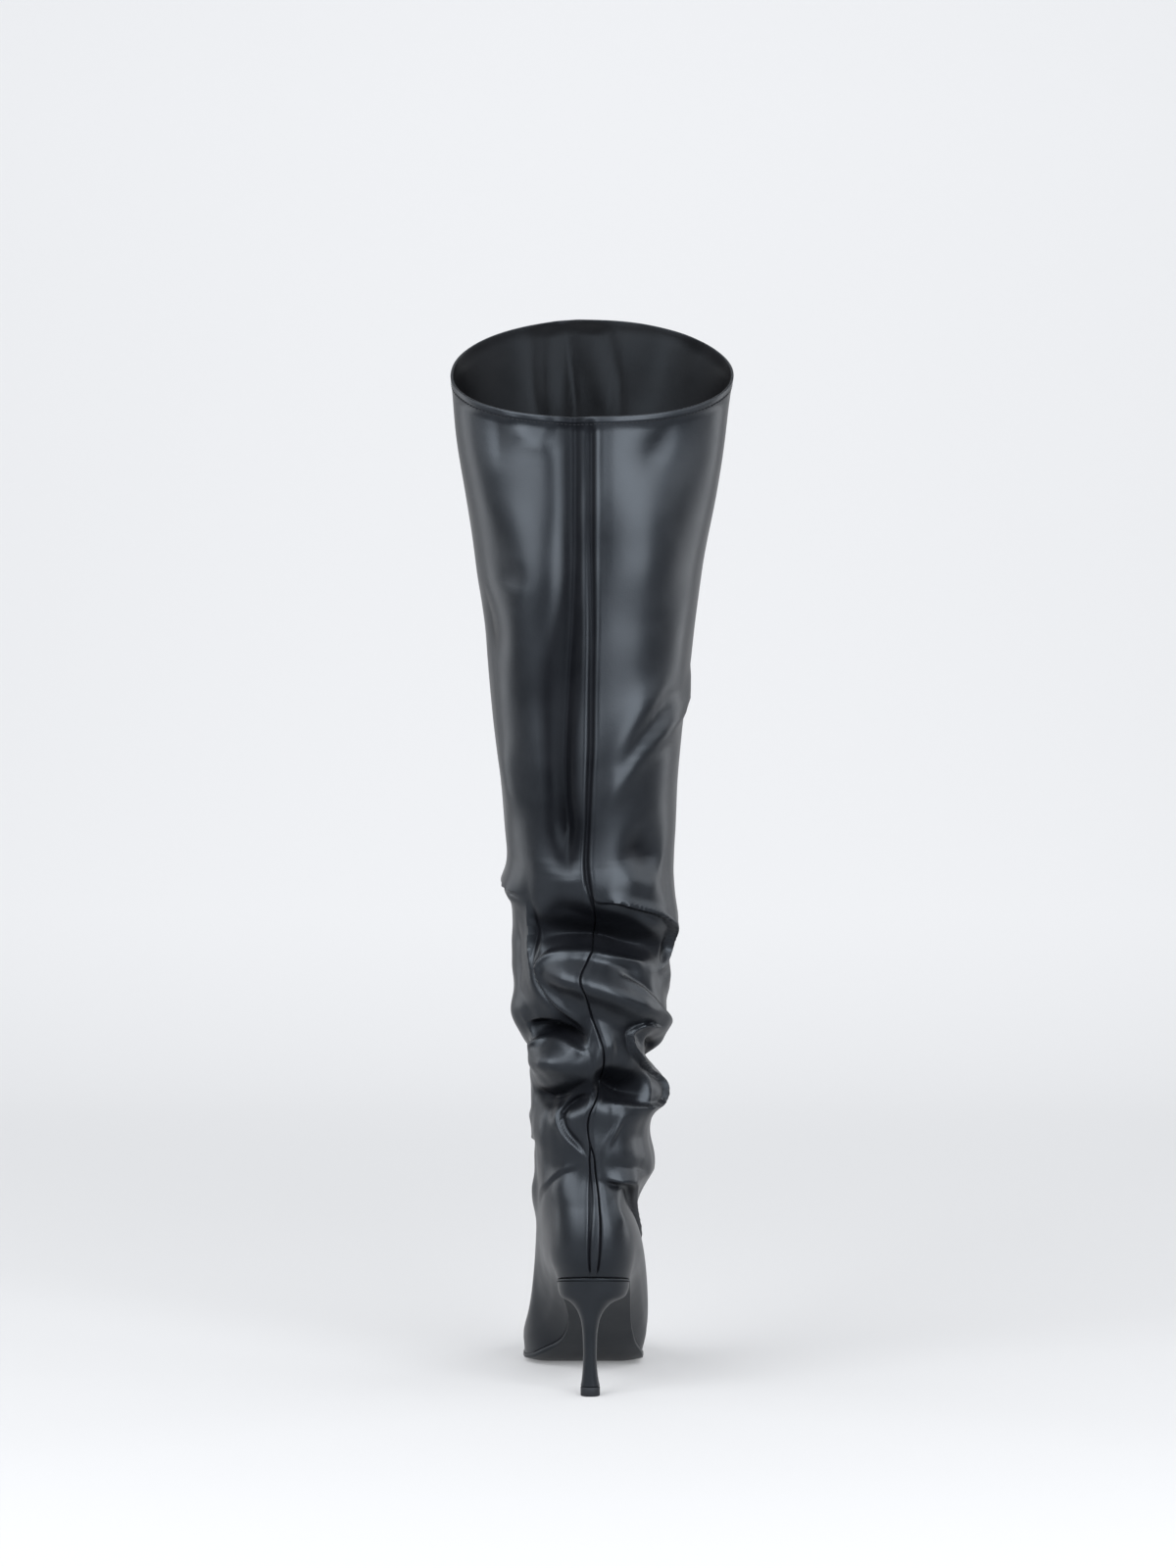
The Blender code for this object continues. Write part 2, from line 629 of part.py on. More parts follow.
def make_outsole():
    """The thin outsole from the seat through the arch to the toe."""
    return make_sheet("outsole", 0.0, outsole_low, sole_top, material("outsole", SOLE_BLACK, 0.35))


def make_insole():
    """The insole inside the upper, resting over the outsole."""
    margin = SOLE_EDGE + UPPER_WALL + 2.0 * FIT_GAP
    return make_sheet("insole", margin, insole_low, insole_high, material("insole", INSOLE_BLACK, 0.60))


clear_scene()
make_outsole()
make_insole()
make_upper()
make_heel()
make_top_piece()
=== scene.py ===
import math

import bpy
import numpy as np
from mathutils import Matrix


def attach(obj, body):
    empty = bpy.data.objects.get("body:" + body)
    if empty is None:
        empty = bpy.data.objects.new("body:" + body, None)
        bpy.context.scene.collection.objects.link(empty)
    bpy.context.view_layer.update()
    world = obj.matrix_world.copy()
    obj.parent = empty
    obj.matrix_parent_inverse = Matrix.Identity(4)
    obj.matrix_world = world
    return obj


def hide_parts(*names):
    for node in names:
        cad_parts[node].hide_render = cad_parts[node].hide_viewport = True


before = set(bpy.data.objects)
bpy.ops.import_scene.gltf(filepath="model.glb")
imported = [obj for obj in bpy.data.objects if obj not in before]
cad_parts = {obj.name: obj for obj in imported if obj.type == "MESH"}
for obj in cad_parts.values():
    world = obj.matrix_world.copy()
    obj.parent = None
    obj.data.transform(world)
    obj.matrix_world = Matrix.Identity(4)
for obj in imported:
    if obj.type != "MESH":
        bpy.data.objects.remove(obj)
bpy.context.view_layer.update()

# Foot and last sizes, in metres
FOOT_LENGTH = 0.240
BALL_WIDTH = 0.087
SEAT_WIDTH = 0.050
HEEL_HEIGHT = 0.080
HEEL_PITCH = 0.013
TOE_SPRING = 0.010
SEAT_SHIFT = 0.0024
TOE_SHIFT = 0.009

# Upper sizes
UPPER_WALL = 0.0020
UPPER_BALL_WIDTH = 0.0925
ANKLE_MEDIAL = 0.0385
ANKLE_LATERAL = 0.0380
ANKLE_BACK_HEIGHT = 0.150
ANKLE_BACK = 0.006
ANKLE_FRONT = 0.097
ANKLE_RISE = 0.020
SHAFT_LENGTH = 0.514
COLLAR_MEDIAL = 0.0965
COLLAR_LATERAL = 0.0990
COLLAR_BACK = 0.030
COLLAR_FRONT = 0.100
COLLAR_RISE = 0.082
COLLAR_EDGE_HEIGHT = 0.0035
COLLAR_EDGE_STEP = 0.0003
COLLAR_EDGE_ROWS = (0.08, 0.30, 0.65, 1.0)
RIM_STEPS = 7
RIM_HEIGHT = 0.8

# Sole and heel sizes
OUTSOLE_THICKNESS = 0.0030
SEAT_THICKNESS = 0.0016
THIN_SEAT_END = 0.10
THICKEN_RUN = 0.35
SOLE_EDGE = 0.0010
SOLE_CROWN = 0.0030
CROWN_START = 0.45
CROWN_RUN = 0.20
CROWN_FLAT = 0.62
CROWN_EDGE = 0.38
CROWN_POWER = 1.6
NARROWEST_HALF = SEAT_WIDTH / 10
HEEL_ROUND = 0.105
TOE_ROUND = 0.050
HEEL_BULGE = 0.0055
TOP_PIECE_HEIGHT = 0.0063
TIP_WIDTH = 0.0130
TIP_DEPTH = 0.0125
STEM_WIDTH = 0.0094
BREAST = 0.0350
FIT_GAP = 0.0003
EDGE_ROUND = 0.0006
EDGE_ROUND_SHARE = 0.4
END_ROUND = 0.0004

# How the rings of the foot, the shaft and the heel are rounded
SHAFT_ANGLE_POWER = 1.15
OVAL_FULLNESS_BACK = 0.72
OVAL_FULLNESS_FRONT = 0.92
FULLEST_BACK = 0.58
SHAFT_TURN_START = 0.5
SHAFT_TURN_POWER = 1.5
ANKLE_OVAL_START = 0.86
ANKLE_OVAL_RUN = 0.14
HEEL_BACK_FULLNESS = 0.90
HEEL_BREAST_FULLNESS = 0.60
BREAST_TURN_START = 0.35
BREAST_TURN_RUN = 0.30
HEEL_ROW_ENDS = (0.006, 0.994)
HEEL_FOOT_DRAW = 0.94

# Main folds, and how they fade towards the feather line
FOLD_TURN_LENGTH = 0.055
FOLD_DEPTH = 0.010
FOLD_STEPS = 32
FOLD_REACH = 2.6
FOLD_END_STRENGTH = 0.15
FOLD_FOOT_POWER = 3

# Creases, and how they fade at their ends and towards the feather line
CREASE_UNIT = 0.001
CREASE_SPACING = 0.0016
CREASE_LEAST_PLACES = 6
CREASE_FADE = 4.0
CREASE_LONGEST_FADE = 0.45
CREASE_END_STRENGTH = 0.12
CREASE_BACK = 2.0
HOLLOW_BACK = 1.4
CREASE_FOOT_START = 0.10
CREASE_FOOT_RUN = 0.40
EVEN_STROKE = (1.0, 0.0)

# Painted shade in the folds and the seam groove: the fold depths where it starts and is full, the groove
# depth where it is full, and the sheen and coat the leather keeps outside it and under it
PAINTED_SHADE_START = 0.0010
PAINTED_SHADE_FULL = 0.0048
GROOVE_SHADE_FULL = 0.0014
PAINTED_SHADE_SHEEN = 0.06
OPEN_COAT = 0.05
PAINTED_SHADE_COAT = 0.0

# The back seam: how far round it bends the columns, then its open groove above the folds, its narrow
# groove in them, the soft shoulders beside it and the raised strip over the counter
SEAM_REACH = math.radians(26)
SEAM_GROOVE = 0.0020
SEAM_GROOVE_DEPTH = 0.0025
FOLDED_GROOVE = 0.0007
FOLDED_GROOVE_DEPTH = 0.0014
PLAIN_SEAM_START = 0.34
PLAIN_SEAM_RUN = 0.05
SEAM_SHOULDER = 0.0042
SEAM_SHOULDER_RISE = 0.0002
STRIP_HALF_WIDTH = 0.0023
STRIP_RISE = 0.0006
STRIP_BOTTOM = -0.240
STRIP_BOTTOM_RUN = 0.07
STRIP_TOP = 0.050
STRIP_TOP_RUN = 0.03
FEATHER_RUN = 0.12

# Slack leather: depths of its slow and fine waves, and where the finer ones begin and end
SLACK_LOW = 0.0007
SLACK_MIDDLE = 0.0002
SLOUCH_MIDDLE = 0.0003
SLOUCH_FINE = 0.00015
SLACK_TOP = 0.48
SLACK_TOP_RUN = 0.12
SLACK_BOTTOM = -0.05
SLACK_BOTTOM_RUN = 0.06

# The lining: how much it follows the leather's slope, the neighbours it looks at, the most that it keeps
# off the leather beyond the wall, and the rows under the collar over which that runs out
LINING_TILT = 0.3
LINING_WINDOW = (-2, -1, 0, 1, 2)
LINING_MOST_GAP = 0.004
LINING_PLAIN_ROWS = 6.0

# Collar stitches
STITCH_PITCH = 0.0031
STITCH_LENGTH = 0.0024
STITCH_THICK = 0.00055
STITCH_END = 0.25
STITCH_RISE = 0.30
STITCH_LIFT = 0.00005
STITCH_DROP = 0.15
STITCH_RINGS = 7
STITCH_SIDES = 6

# Fineness of the meshes
COLUMNS = 236
SEAM_COLUMNS = 24
SEAM_SPREAD = math.radians(5.5)
SEAM_CLEARANCE = 1.02
SEAM_PLACES = 400
SEAM_WINDOW = 17
FOOT_ROWS = 46
SLOUCH_ROWS = 176
PLAIN_ROWS = 44
SLOUCH_TOP = 0.42
JOINT_REACH = 16
JOINT_TURNS = 60
INSIDE_STEP = 2
HEEL_COLUMNS = 96
HEEL_ROWS = 70
SOLE_STATIONS = 150
SOLE_ACROSS = 26
TINY = 1e-6

# Leather finishes
SHEEN_TINT = (0.74, 0.86, 1.0, 1.0)
COAT_ROUGHNESS = 0.24
TONE_SPAN = (0.35, 0.70)
ROUGH_SPAN = (0.30, 0.70)

# The floor and its wall, which glow more the further they lie behind the boot, and the dim surroundings
FLOOR_HALF_WIDTH = 6.0
FLOOR_FRONT = -4.0
BEND_START = 2.2
BEND_RADIUS = 1.6
BEND_STEPS = 24
WALL_HEIGHT = 5.0
PAPER_COLOUR = (0.31, 0.315, 0.325, 1.0)
PAPER_ROUGHNESS = 0.85
GLOW_COLOUR = (0.96, 0.975, 1.0, 1.0)
GLOW_FROM = -1.0
GLOW_TO = 3.0
GLOW_LEAST = 0.04
GLOW_MOST = 0.60
AIR_COLOUR = (0.95, 0.97, 1.0, 1.0)
AIR_STRENGTH = 0.08

# The camera stands level behind the boot, a little over two metres away
CAMERA_PLACE = (-0.0013, -2.3765, 0.417)
CAMERA_LENS = 80.0
PICTURE_LONG_SIDE = 36.0
BOOT_MIDDLE = (0.0, 0.0, 0.45)

SOLE_PROFILE = (
    # along, heel share, spring share
    (0.00, 1.000, 0.00),
    (0.10, 0.944, 0.00),
    (0.20, 0.825, 0.00),
    (0.30, 0.638, 0.00),
    (0.40, 0.412, 0.00),
    (0.50, 0.181, 0.00),
    (0.57, 0.056, 0.00),
    (0.63, 0.008, 0.00),
    (0.66, 0.000, 0.00),
    (0.78, 0.000, 0.00),
    (0.86, 0.000, 0.20),
    (0.94, 0.000, 0.60),
    (1.00, 0.000, 1.00),
)
SOLE_PLAN = (
    # along, seat shift, toe shift, seat half, ball half
    (0.00, 1.00, 0.00, 1.000, 0.000),
    (0.10, 1.00, 0.00, 1.010, 0.000),
    (0.20, 1.50, 0.00, 0.980, 0.000),
    (0.30, 2.50, 0.00, 0.900, 0.000),
    (0.40, 2.90, 0.00, 0.800, 0.060),
    (0.48, 2.10, 0.00, 0.450, 0.375),
    (0.55, 0.60, 0.16, 0.120, 0.790),
    (0.625, 0.00, 0.45, 0.000, 0.975),
    (0.69, 0.00, 0.52, 0.000, 1.000),
    (0.76, 0.00, 0.56, 0.000, 0.950),
    (0.83, 0.00, 0.62, 0.000, 0.830),
    (0.90, 0.00, 0.74, 0.000, 0.640),
    (0.96, 0.00, 0.90, 0.000, 0.440),
    (1.00, 0.00, 1.00, 0.000, 0.300),
)
FOOT_RINGS = (
    # share, back out, back up, front in, front up, medial, lateral, open
    (0.00, 0.00, 0.000, 0.000, 0.000, 0.98, 0.98, 0.00),
    (0.08, 0.28, 0.065, -0.010, 0.030, 1.02, 1.00, 0.16),
    (0.17, 0.48, 0.150, 0.002, 0.075, 1.06, 0.99, 0.38),
    (0.27, 0.58, 0.250, 0.070, 0.118, 1.02, 0.95, 0.60),
    (0.37, 0.58, 0.360, 0.215, 0.152, 0.95, 0.89, 0.78),
    (0.48, 0.46, 0.480, 0.410, 0.200, 0.90, 0.82, 0.90),
    (0.59, 0.26, 0.600, 0.600, 0.285, 0.86, 0.74, 0.97),
    (0.70, 0.02, 0.710, 0.760, 0.420, 0.83, 0.66, 1.00),
    (0.80, -0.24, 0.810, 0.880, 0.600, 0.82, 0.63, 1.00),
    (0.90, -0.60, 0.900, 0.965, 0.800, 0.84, 0.68, 1.00),
    (1.00, -1.00, 1.000, 1.000, 1.000, 0.83, 0.83, 1.00),
)
SHAFT_SECTIONS = (
    # up, medial, lateral, back, front
    (0.0, 0.000, 0.000, 0.000, 0.00),
    (0.1, 0.060, 0.115, 0.167, -0.33),
    (0.2, 0.200, 0.230, 0.333, 0.00),
    (0.3, 0.250, 0.295, 0.500, 0.33),
    (0.4, 0.320, 0.344, 0.625, 0.67),
    (0.5, 0.405, 0.377, 0.750, 0.67),
    (0.6, 0.510, 0.475, 0.833, 1.00),
    (0.7, 0.610, 0.574, 0.917, 1.33),
    (0.8, 0.740, 0.713, 0.958, 1.33),
    (0.9, 0.900, 0.877, 1.000, 1.33),
    (1.0, 1.000, 1.000, 1.000, 1.00),
)
# The main folds, in degrees round from the back seam and as a share of the shaft's length up it. Their
# half width, push and sag are in fold depths.
FOLDS = (
    # start deg, start up, middle deg, middle up, end deg, end up, half width, push, sag
    (-114, 0.366, -84, 0.368, -50, 0.361, 0.95, 0.48, 0.40),
    (-4, 0.380, 45, 0.354, 100, 0.300, 1.30, 0.58, 0.60),
    (-44, 0.316, 5, 0.318, 68, 0.288, 0.95, -1.95, 0.00),
    (-44, 0.268, 5, 0.256, 95, 0.165, 1.15, 0.85, 0.50),
    (-120, 0.200, -88, 0.195, -60, 0.225, 1.20, 0.50, 0.00),
    (-125, 0.128, -90, 0.135, -60, 0.180, 0.75, -0.55, 0.00),
    (-60, 0.185, -30, 0.196, 0, 0.185, 0.80, -1.20, 0.00),
    (55, 0.160, 85, 0.132, 120, 0.135, 0.75, -1.20, 0.00),
    (-66, 0.140, -35, 0.150, 0, 0.150, 1.00, 0.70, 0.30),
    (2, 0.126, 26, 0.116, 60, 0.099, 0.95, -1.60, 0.00),
    (-75, 0.092, -30, 0.100, 6, 0.118, 0.80, -0.80, 0.00),
    (20, 0.085, 80, 0.090, 130, 0.095, 1.30, 0.80, 0.20),
    (8, 0.030, 70, 0.000, 120, 0.000, 1.50, 0.85, 0.50),
    (-85, 0.050, -50, 0.050, -10, 0.050, 1.30, 0.30, 0.20),
    (20, -0.050, 70, -0.070, 110, -0.076, 0.90, -0.40, 0.00),
    (105, 0.345, 180, 0.300, 250, 0.350, 1.50, 0.65, 0.40),
    (105, 0.270, 180, 0.225, 245, 0.270, 1.20, -0.80, 0.00),
    (115, 0.205, 180, 0.165, 240, 0.200, 1.50, 0.65, 0.40),
    (115, 0.130, 180, 0.100, 240, 0.120, 1.20, -0.75, 0.00),
    (120, 0.060, 180, 0.045, 240, 0.050, 1.50, 0.55, 0.30),
)

# Creases, listed one by one. Each row has its path round and up the shaft (degrees from the back seam, share
# of the shaft's length), then the half width and the push on the left of the path and on its right, the
# softness of the step between the two, and how far the leather on the left hangs over. A row with only
# one width and one push is even on both sides. All but the path are in crease units.
CREASES = (
    # path, left width, left push, right width, right push, step, overhang
    # The hem of the long upper tier: a flap on the inner side, a soft run-in, then the lip round the pocket
    (((-112, 0.368), (-88, 0.368), (-68, 0.364), (-54, 0.361)), 4.5, 1.8, 7.0, -2.4, 1.1, 2.4),
    (((-2, 0.372), (6, 0.364), (16, 0.363), (31, 0.354), (50, 0.339), (66, 0.319), (76, 0.298), (78, 0.283),
      (70, 0.271), (54, 0.266)), 4.2, 3.0, 9.0, -4.0, 1.4, 2.6),
    (((-40, 0.350), (-18, 0.352), (4, 0.342), (26, 0.334), (50, 0.318)), 9.0, -6.5),
    (((-49, 0.268), (-51, 0.297), (-50, 0.330), (-48, 0.362)), 5.0, 2.6, 8.0, -4.0, 1.2, 0.0),
    (((-46, 0.300), (-36, 0.312), (-14, 0.318), (6, 0.318), (24, 0.313), (42, 0.303), (58, 0.292)),
     18.0, -6.0, 4.0, -3.0, 1.4, 0.0),
    (((-88, 0.330), (-86, 0.270), (-86, 0.215)), 9.0, 2.0),
    (((-68, 0.335), (-69, 0.270), (-68, 0.225)), 6.0, -1.8),
    # The second roll: its lip, its rounded end on the inner side and its long crest
    (((46, 0.280), (30, 0.289), (14, 0.297), (0, 0.303), (-14, 0.303), (-28, 0.299), (-37, 0.290),
      (-42, 0.275), (-41, 0.257), (-34, 0.238), (-24, 0.220), (-12, 0.204), (-2, 0.190)),
     4.6, 3.8, 4.0, -3.0, 1.3, 0.0),
    (((-22, 0.287), (0, 0.287), (24, 0.277), (42, 0.264)), 5.0, -2.2),
    (((-32, 0.271), (-17, 0.263), (4, 0.253), (27, 0.234), (59, 0.196), (84, 0.168)), 9.0, 3.6),
    (((88, 0.171), (75, 0.190), (57, 0.215), (38, 0.249), (20, 0.270)), 4.0, 2.2, 4.5, -3.6, 1.0, 0.0),
    (((70, 0.262), (84, 0.236), (92, 0.205)), 7.0, 2.4),
    (((-18, 0.196), (0, 0.212), (24, 0.196), (44, 0.186)), 7.0, -3.0),
    # The pocket on the inner side and its two lips, and the long swell above it
    (((-52, 0.285), (-48, 0.255), (-35, 0.232), (-21, 0.208)), 7.0, 2.2),
    (((-64, 0.190), (-53, 0.199), (-42, 0.205), (-29, 0.205), (-15, 0.198), (-6, 0.187), (-1, 0.172)),
     4.2, 2.8, 9.0, -9.0, 1.1, 2.0),
    (((-1, 0.163), (-12, 0.174), (-25, 0.184), (-37, 0.186), (-51, 0.175), (-66, 0.152)),
     4.0, 3.4, 3.0, -1.0, 1.1, 0.0),
    # The curl on the outer side and the hollow that it runs round
    (((66, 0.180), (52, 0.192), (40, 0.196), (33, 0.188), (34, 0.172), (46, 0.149), (68, 0.124), (84, 0.103),
      (82, 0.084), (60, 0.083), (34, 0.094), (12, 0.103)), 3.8, 3.6, 6.0, -2.6, 1.3, 0.0),
    (((48, 0.178), (60, 0.168), (80, 0.154)), 4.0, -7.0),
    (((0, 0.132), (12, 0.124), (26, 0.113), (44, 0.102), (60, 0.095)), 15.0, -5.0, 3.5, -2.0, 1.3, 0.0),
    (((8, 0.168), (22, 0.172)), 7.0, 2.4),
    # The dome on the inner side, the band under it and the pointed crease beside the seam
    (((-48, 0.140), (-30, 0.150), (-20, 0.152)), 8.0, 3.6),
    (((-70, 0.098), (-50, 0.096), (-34, 0.102), (-16, 0.114), (2, 0.129)), 5.0, -4.4, 4.0, -2.0, 1.4, 0.0),
    (((3, 0.110), (-8, 0.107), (-18, 0.101), (-27, 0.091), (-31, 0.079), (-28, 0.065), (-21, 0.051),
      (-12, 0.039), (-3, 0.025)), 4.5, -4.6, 5.5, 1.8, 1.8, 0.0),
    (((-48, 0.110), (-36, 0.085), (-38, 0.060)), 5.0, 1.6),
    # The pouch over the counter on the outer side, and slack beside it
    (((20, 0.062), (26, 0.054)), 8.0, 2.0),
    (((12, 0.016), (34, 0.010), (56, 0.000), (76, -0.014)), 5.5, -3.0),
    (((10, -0.004), (24, -0.009), (42, -0.016), (60, -0.032), (80, -0.050), (106, -0.060)),
     5.0, 3.6, 6.0, -5.0, 2.6, 1.6),
    (((-10, 0.013), (-30, 0.002), (-47, -0.017), (-72, -0.034)), 4.0, -1.4, 4.0, 1.0, 1.2, 0.0),
    (((-112, -0.028), (-92, -0.026), (-70, -0.014)), 5.0, 2.8),
    (((-112, 0.058), (-92, 0.054), (-74, 0.058)), 4.5, 1.6),
    (((24, -0.030), (30, -0.070)), 7.0, 1.2),
    # Long soft diagonals over the outer side of the calf
    (((96, 0.604), (74, 0.594), (50, 0.578), (34, 0.556), (20, 0.524), (8, 0.480)), 6.5, 3.6),
    (((52, 0.660), (36, 0.618), (22, 0.575), (11, 0.516)), 11.0, 3.6),
    (((68, 0.614), (50, 0.614), (36, 0.588), (25, 0.552), (14, 0.505)), 6.0, -2.6),
    (((24, 0.453), (36, 0.430), (56, 0.408)), 13.0, -4.0),
    (((12, 0.402), (36, 0.388), (60, 0.368)), 9.0, 2.6),
    (((86, 0.640), (87, 0.590)), 10.0, 2.2),
    # The long trough on the inner side of the seam
    (((-7.5, 1.120), (-7.5, 0.900), (-8.5, 0.820), (-11, 0.725), (-15, 0.630), (-18, 0.540), (-18, 0.430)),
     5.6, -7.6),
    (((-19, 0.500), (-15, 0.390)), 10.0, -3.0),
    (((-14, 0.800), (-20, 0.680), (-22, 0.560), (-18, 0.440), (-12, 0.350)), 18.0, -5.0),
    (((-15, 0.480), (-16, 0.474)), 4.5, -2.2),
    # Soft dents and swells of the upper panels
    (((-44, 0.900), (-30, 0.824), (-37, 0.715), (-46, 0.640)), 15.0, 3.4),
    (((-38, 0.795), (-37, 0.782)), 9.0, -2.8),
    (((-42, 1.010), (-42, 0.921)), 8.0, -2.4),
    (((-35, 0.995), (-12, 0.960)), 8.0, -2.0, 8.0, 1.4, 3.0, 0.0),
    (((14, 0.930), (24, 0.860), (30, 0.720)), 20.0, 3.6),
    (((38, 0.995), (21, 0.925)), 9.0, -2.8),
    (((-66, 0.560), (-58, 0.460)), 14.0, 2.6),
    (((-70, 0.760), (-66, 0.660)), 13.0, -2.4),
    # Soft dents in the front under the collar, seen as ridges from inside
    (((-166, 0.995), (-163, 0.965), (-167, 0.900)), 3.2, -3.4),
    (((-183, 0.995), (-178, 0.975), (-182, 0.940), (-188, 0.900)), 3.2, -3.4),
    (((-196, 0.990), (-193, 0.950)), 9.0, -2.4),
    # Folds on the front and the inner side, where the leather gathers over the instep
    (((112, 0.322), (150, 0.285), (185, 0.272), (220, 0.295), (250, 0.325)), 9.0, 2.5, 6.0, -4.5, 1.4, 2.6),
    (((118, 0.185), (150, 0.150), (180, 0.140), (212, 0.155), (240, 0.190)), 9.0, 2.5, 6.0, -4.5, 1.4, 2.6),
    (((128, 0.060), (160, 0.028), (188, 0.020), (222, 0.040)), 8.0, 2.0, 6.0, -3.4, 1.4, 2.0),
    (((100, 0.240), (130, 0.225), (165, 0.245)), 6.0, 2.4, 5.0, -3.0, 1.2, 0.0),
    (((195, 0.232), (225, 0.222), (262, 0.255)), 6.0, 2.4, 5.0, -3.0, 1.2, 0.0),
    (((192, 0.108), (225, 0.090), (262, 0.120)), 6.0, 2.4, 5.0, -3.0, 1.2, 0.0),
    (((104, 0.112), (130, 0.098), (160, 0.112)), 6.0, 2.0, 5.0, -2.6, 1.2, 0.0),
    (((135, 0.440), (170, 0.395), (205, 0.400), (232, 0.450)), 13.0, 3.0, 11.0, -3.0, 4.0, 0.0),
    (((128, 0.600), (165, 0.520), (190, 0.500)), 14.0, 2.6, 12.0, -2.4, 5.0, 0.0),
    (((235, 0.640), (205, 0.560), (185, 0.545)), 14.0, 2.4, 12.0, -2.2, 5.0, 0.0),
    (((150, -0.030), (180, -0.042), (210, -0.032)), 5.0, 1.0, 4.0, -1.6, 1.6, 0.0),
    (((245, 0.030), (265, 0.020), (288, 0.035)), 6.0, 1.6, 5.0, -2.0, 1.6, 0.0),
    # Upright pinches of the front panel under the collar, seen from inside it
    (((191, 1.050), (196, 0.930), (191, 0.860)), 5.0, -3.4),
    (((182, 1.050), (188, 0.960)), 4.0, -2.6),
    (((184, 1.000), (178, 0.930), (173, 0.860)), 4.5, -3.0),
    (((160, 1.020), (157, 0.960)), 9.0, -2.4),
    (((128, 1.020), (132, 0.900)), 8.0, -1.8),
)

# The back seam's path: share up the shaft, degrees from the middle of the back.
BACK_SEAM = (
    (-0.140, 0.0), (-0.060, 1.5), (0.000, 3.0), (0.027, 2.5), (0.045, -0.5), (0.063, -3.0), (0.082, -1.5),
    (0.101, 6.0), (0.123, 13.0), (0.159, 11.5), (0.192, 6.5), (0.208, 2.0), (0.261, -7.0), (0.281, -5.0),
    (0.294, 2.0), (0.335, 6.0), (0.352, 3.0), (0.384, -1.5), (0.416, -3.5), (0.481, -1.5), (0.571, 0.5),
    (0.725, 1.0), (0.841, 0.0), (1.000, 0.0),
)
HEEL_SECTIONS = (
    # up, width, back, breast
    (0.000, 0.095, 0.000, 0.030),
    (0.040, 0.065, 0.000, 0.015),
    (0.180, 0.010, 0.010, 0.000),
    (0.390, 0.000, 0.060, 0.010),
    (0.570, 0.045, 0.200, 0.060),
    (0.660, 0.120, 0.330, 0.130),
    (0.740, 0.270, 0.480, 0.270),
    (0.800, 0.480, 0.610, 0.450),
    (0.850, 0.800, 0.730, 0.680),
    (0.920, 0.940, 0.880, 0.900),
    (1.000, 0.985, 0.985, 1.000),
)
TOP_PIECE_RINGS = (
    # height, inset
    (0.0, EDGE_ROUND),
    (0.0002, 0.00025),
    (EDGE_ROUND, 0.0),
    (TOP_PIECE_HEIGHT - 0.0004, 0.0),
    (TOP_PIECE_HEIGHT - 0.0001, 0.00015),
    (TOP_PIECE_HEIGHT, 0.0004),
)
SLACK_WAVES = (
    # waves round, waves up, start, then the same for the wave it is multiplied by
    (3.0, 21.0, 0.7, 2.0, -13.0, 0.0),
    (7.0, -37.0, 1.9, 5.0, 29.0, 0.4),
    (15.0, 83.0, 0.0, 11.0, -97.0, 2.2),
)
FINISHES = (
    # name, dark tone, light tone, least and most roughness, sheen, pebble scale, pebble depth, waviness
    ("black calf leather", (0.0030, 0.0034, 0.0045), (0.0052, 0.0057, 0.0072),
     (0.33, 0.41), 0.32, 1100.0, 0.10, 0.015),
    ("black lining leather", (0.0028, 0.0029, 0.0033), (0.0048, 0.0049, 0.0055),
     (0.34, 0.42), 0.07, 1400.0, 0.12, 0.03),
    ("heel cover leather", (0.005, 0.0055, 0.0065), (0.008, 0.0085, 0.010),
     (0.32, 0.40), 0.30, 1300.0, 0.08, 0.03),
    ("painted sole leather", (0.0045, 0.0053, 0.0066), (0.0075, 0.0085, 0.0100),
     (0.36, 0.46), 0.26, 600.0, 0.05, 0.03),
    ("top piece rubber", (0.006, 0.006, 0.007), (0.010, 0.010, 0.011),
     (0.50, 0.62), 0.30, 1500.0, 0.15, 0.02),
    ("insole leather", (0.020, 0.020, 0.020), (0.032, 0.031, 0.031),
     (0.55, 0.68), 0.30, 900.0, 0.15, 0.05),
    ("black thread", (0.006, 0.006, 0.007), (0.010, 0.010, 0.011),
     (0.45, 0.55), 0.25, 2500.0, 0.10, 0.0),
)
LIGHTS = (
    # name, place, aimed at, width and height, power
    ("left softbox", (-0.98, -1.20, 1.22), BOOT_MIDDLE, (1.15, 1.5), 46.5),
    ("right softbox", (0.72, -1.38, 1.00), BOOT_MIDDLE, (1.05, 1.5), 44.5),
    ("front softbox", (-0.10, -2.20, 1.60), BOOT_MIDDLE, (1.0, 0.9), 10.0),
    ("left panel", (-1.75, -0.45, 1.30), BOOT_MIDDLE, (1.2, 1.2), 13.0),
    ("right panel", (1.75, -0.45, 1.30), BOOT_MIDDLE, (1.2, 1.2), 15.0),
    ("left strip", (-1.9, 0.7, 0.9), BOOT_MIDDLE, (0.8, 1.8), 16.0),
    ("right strip", (1.9, 0.8, 0.9), BOOT_MIDDLE, (0.8, 1.8), 16.0),
    ("top softbox", (0.0, -0.4, 2.6), (0.0, 0.0, 0.3), (1.8, 1.4), 10.0),
    ("backdrop softbox", (0.0, 1.2, 3.4), (0.0, 3.7, 0.9), (3.0, 1.0), 30.0),
)


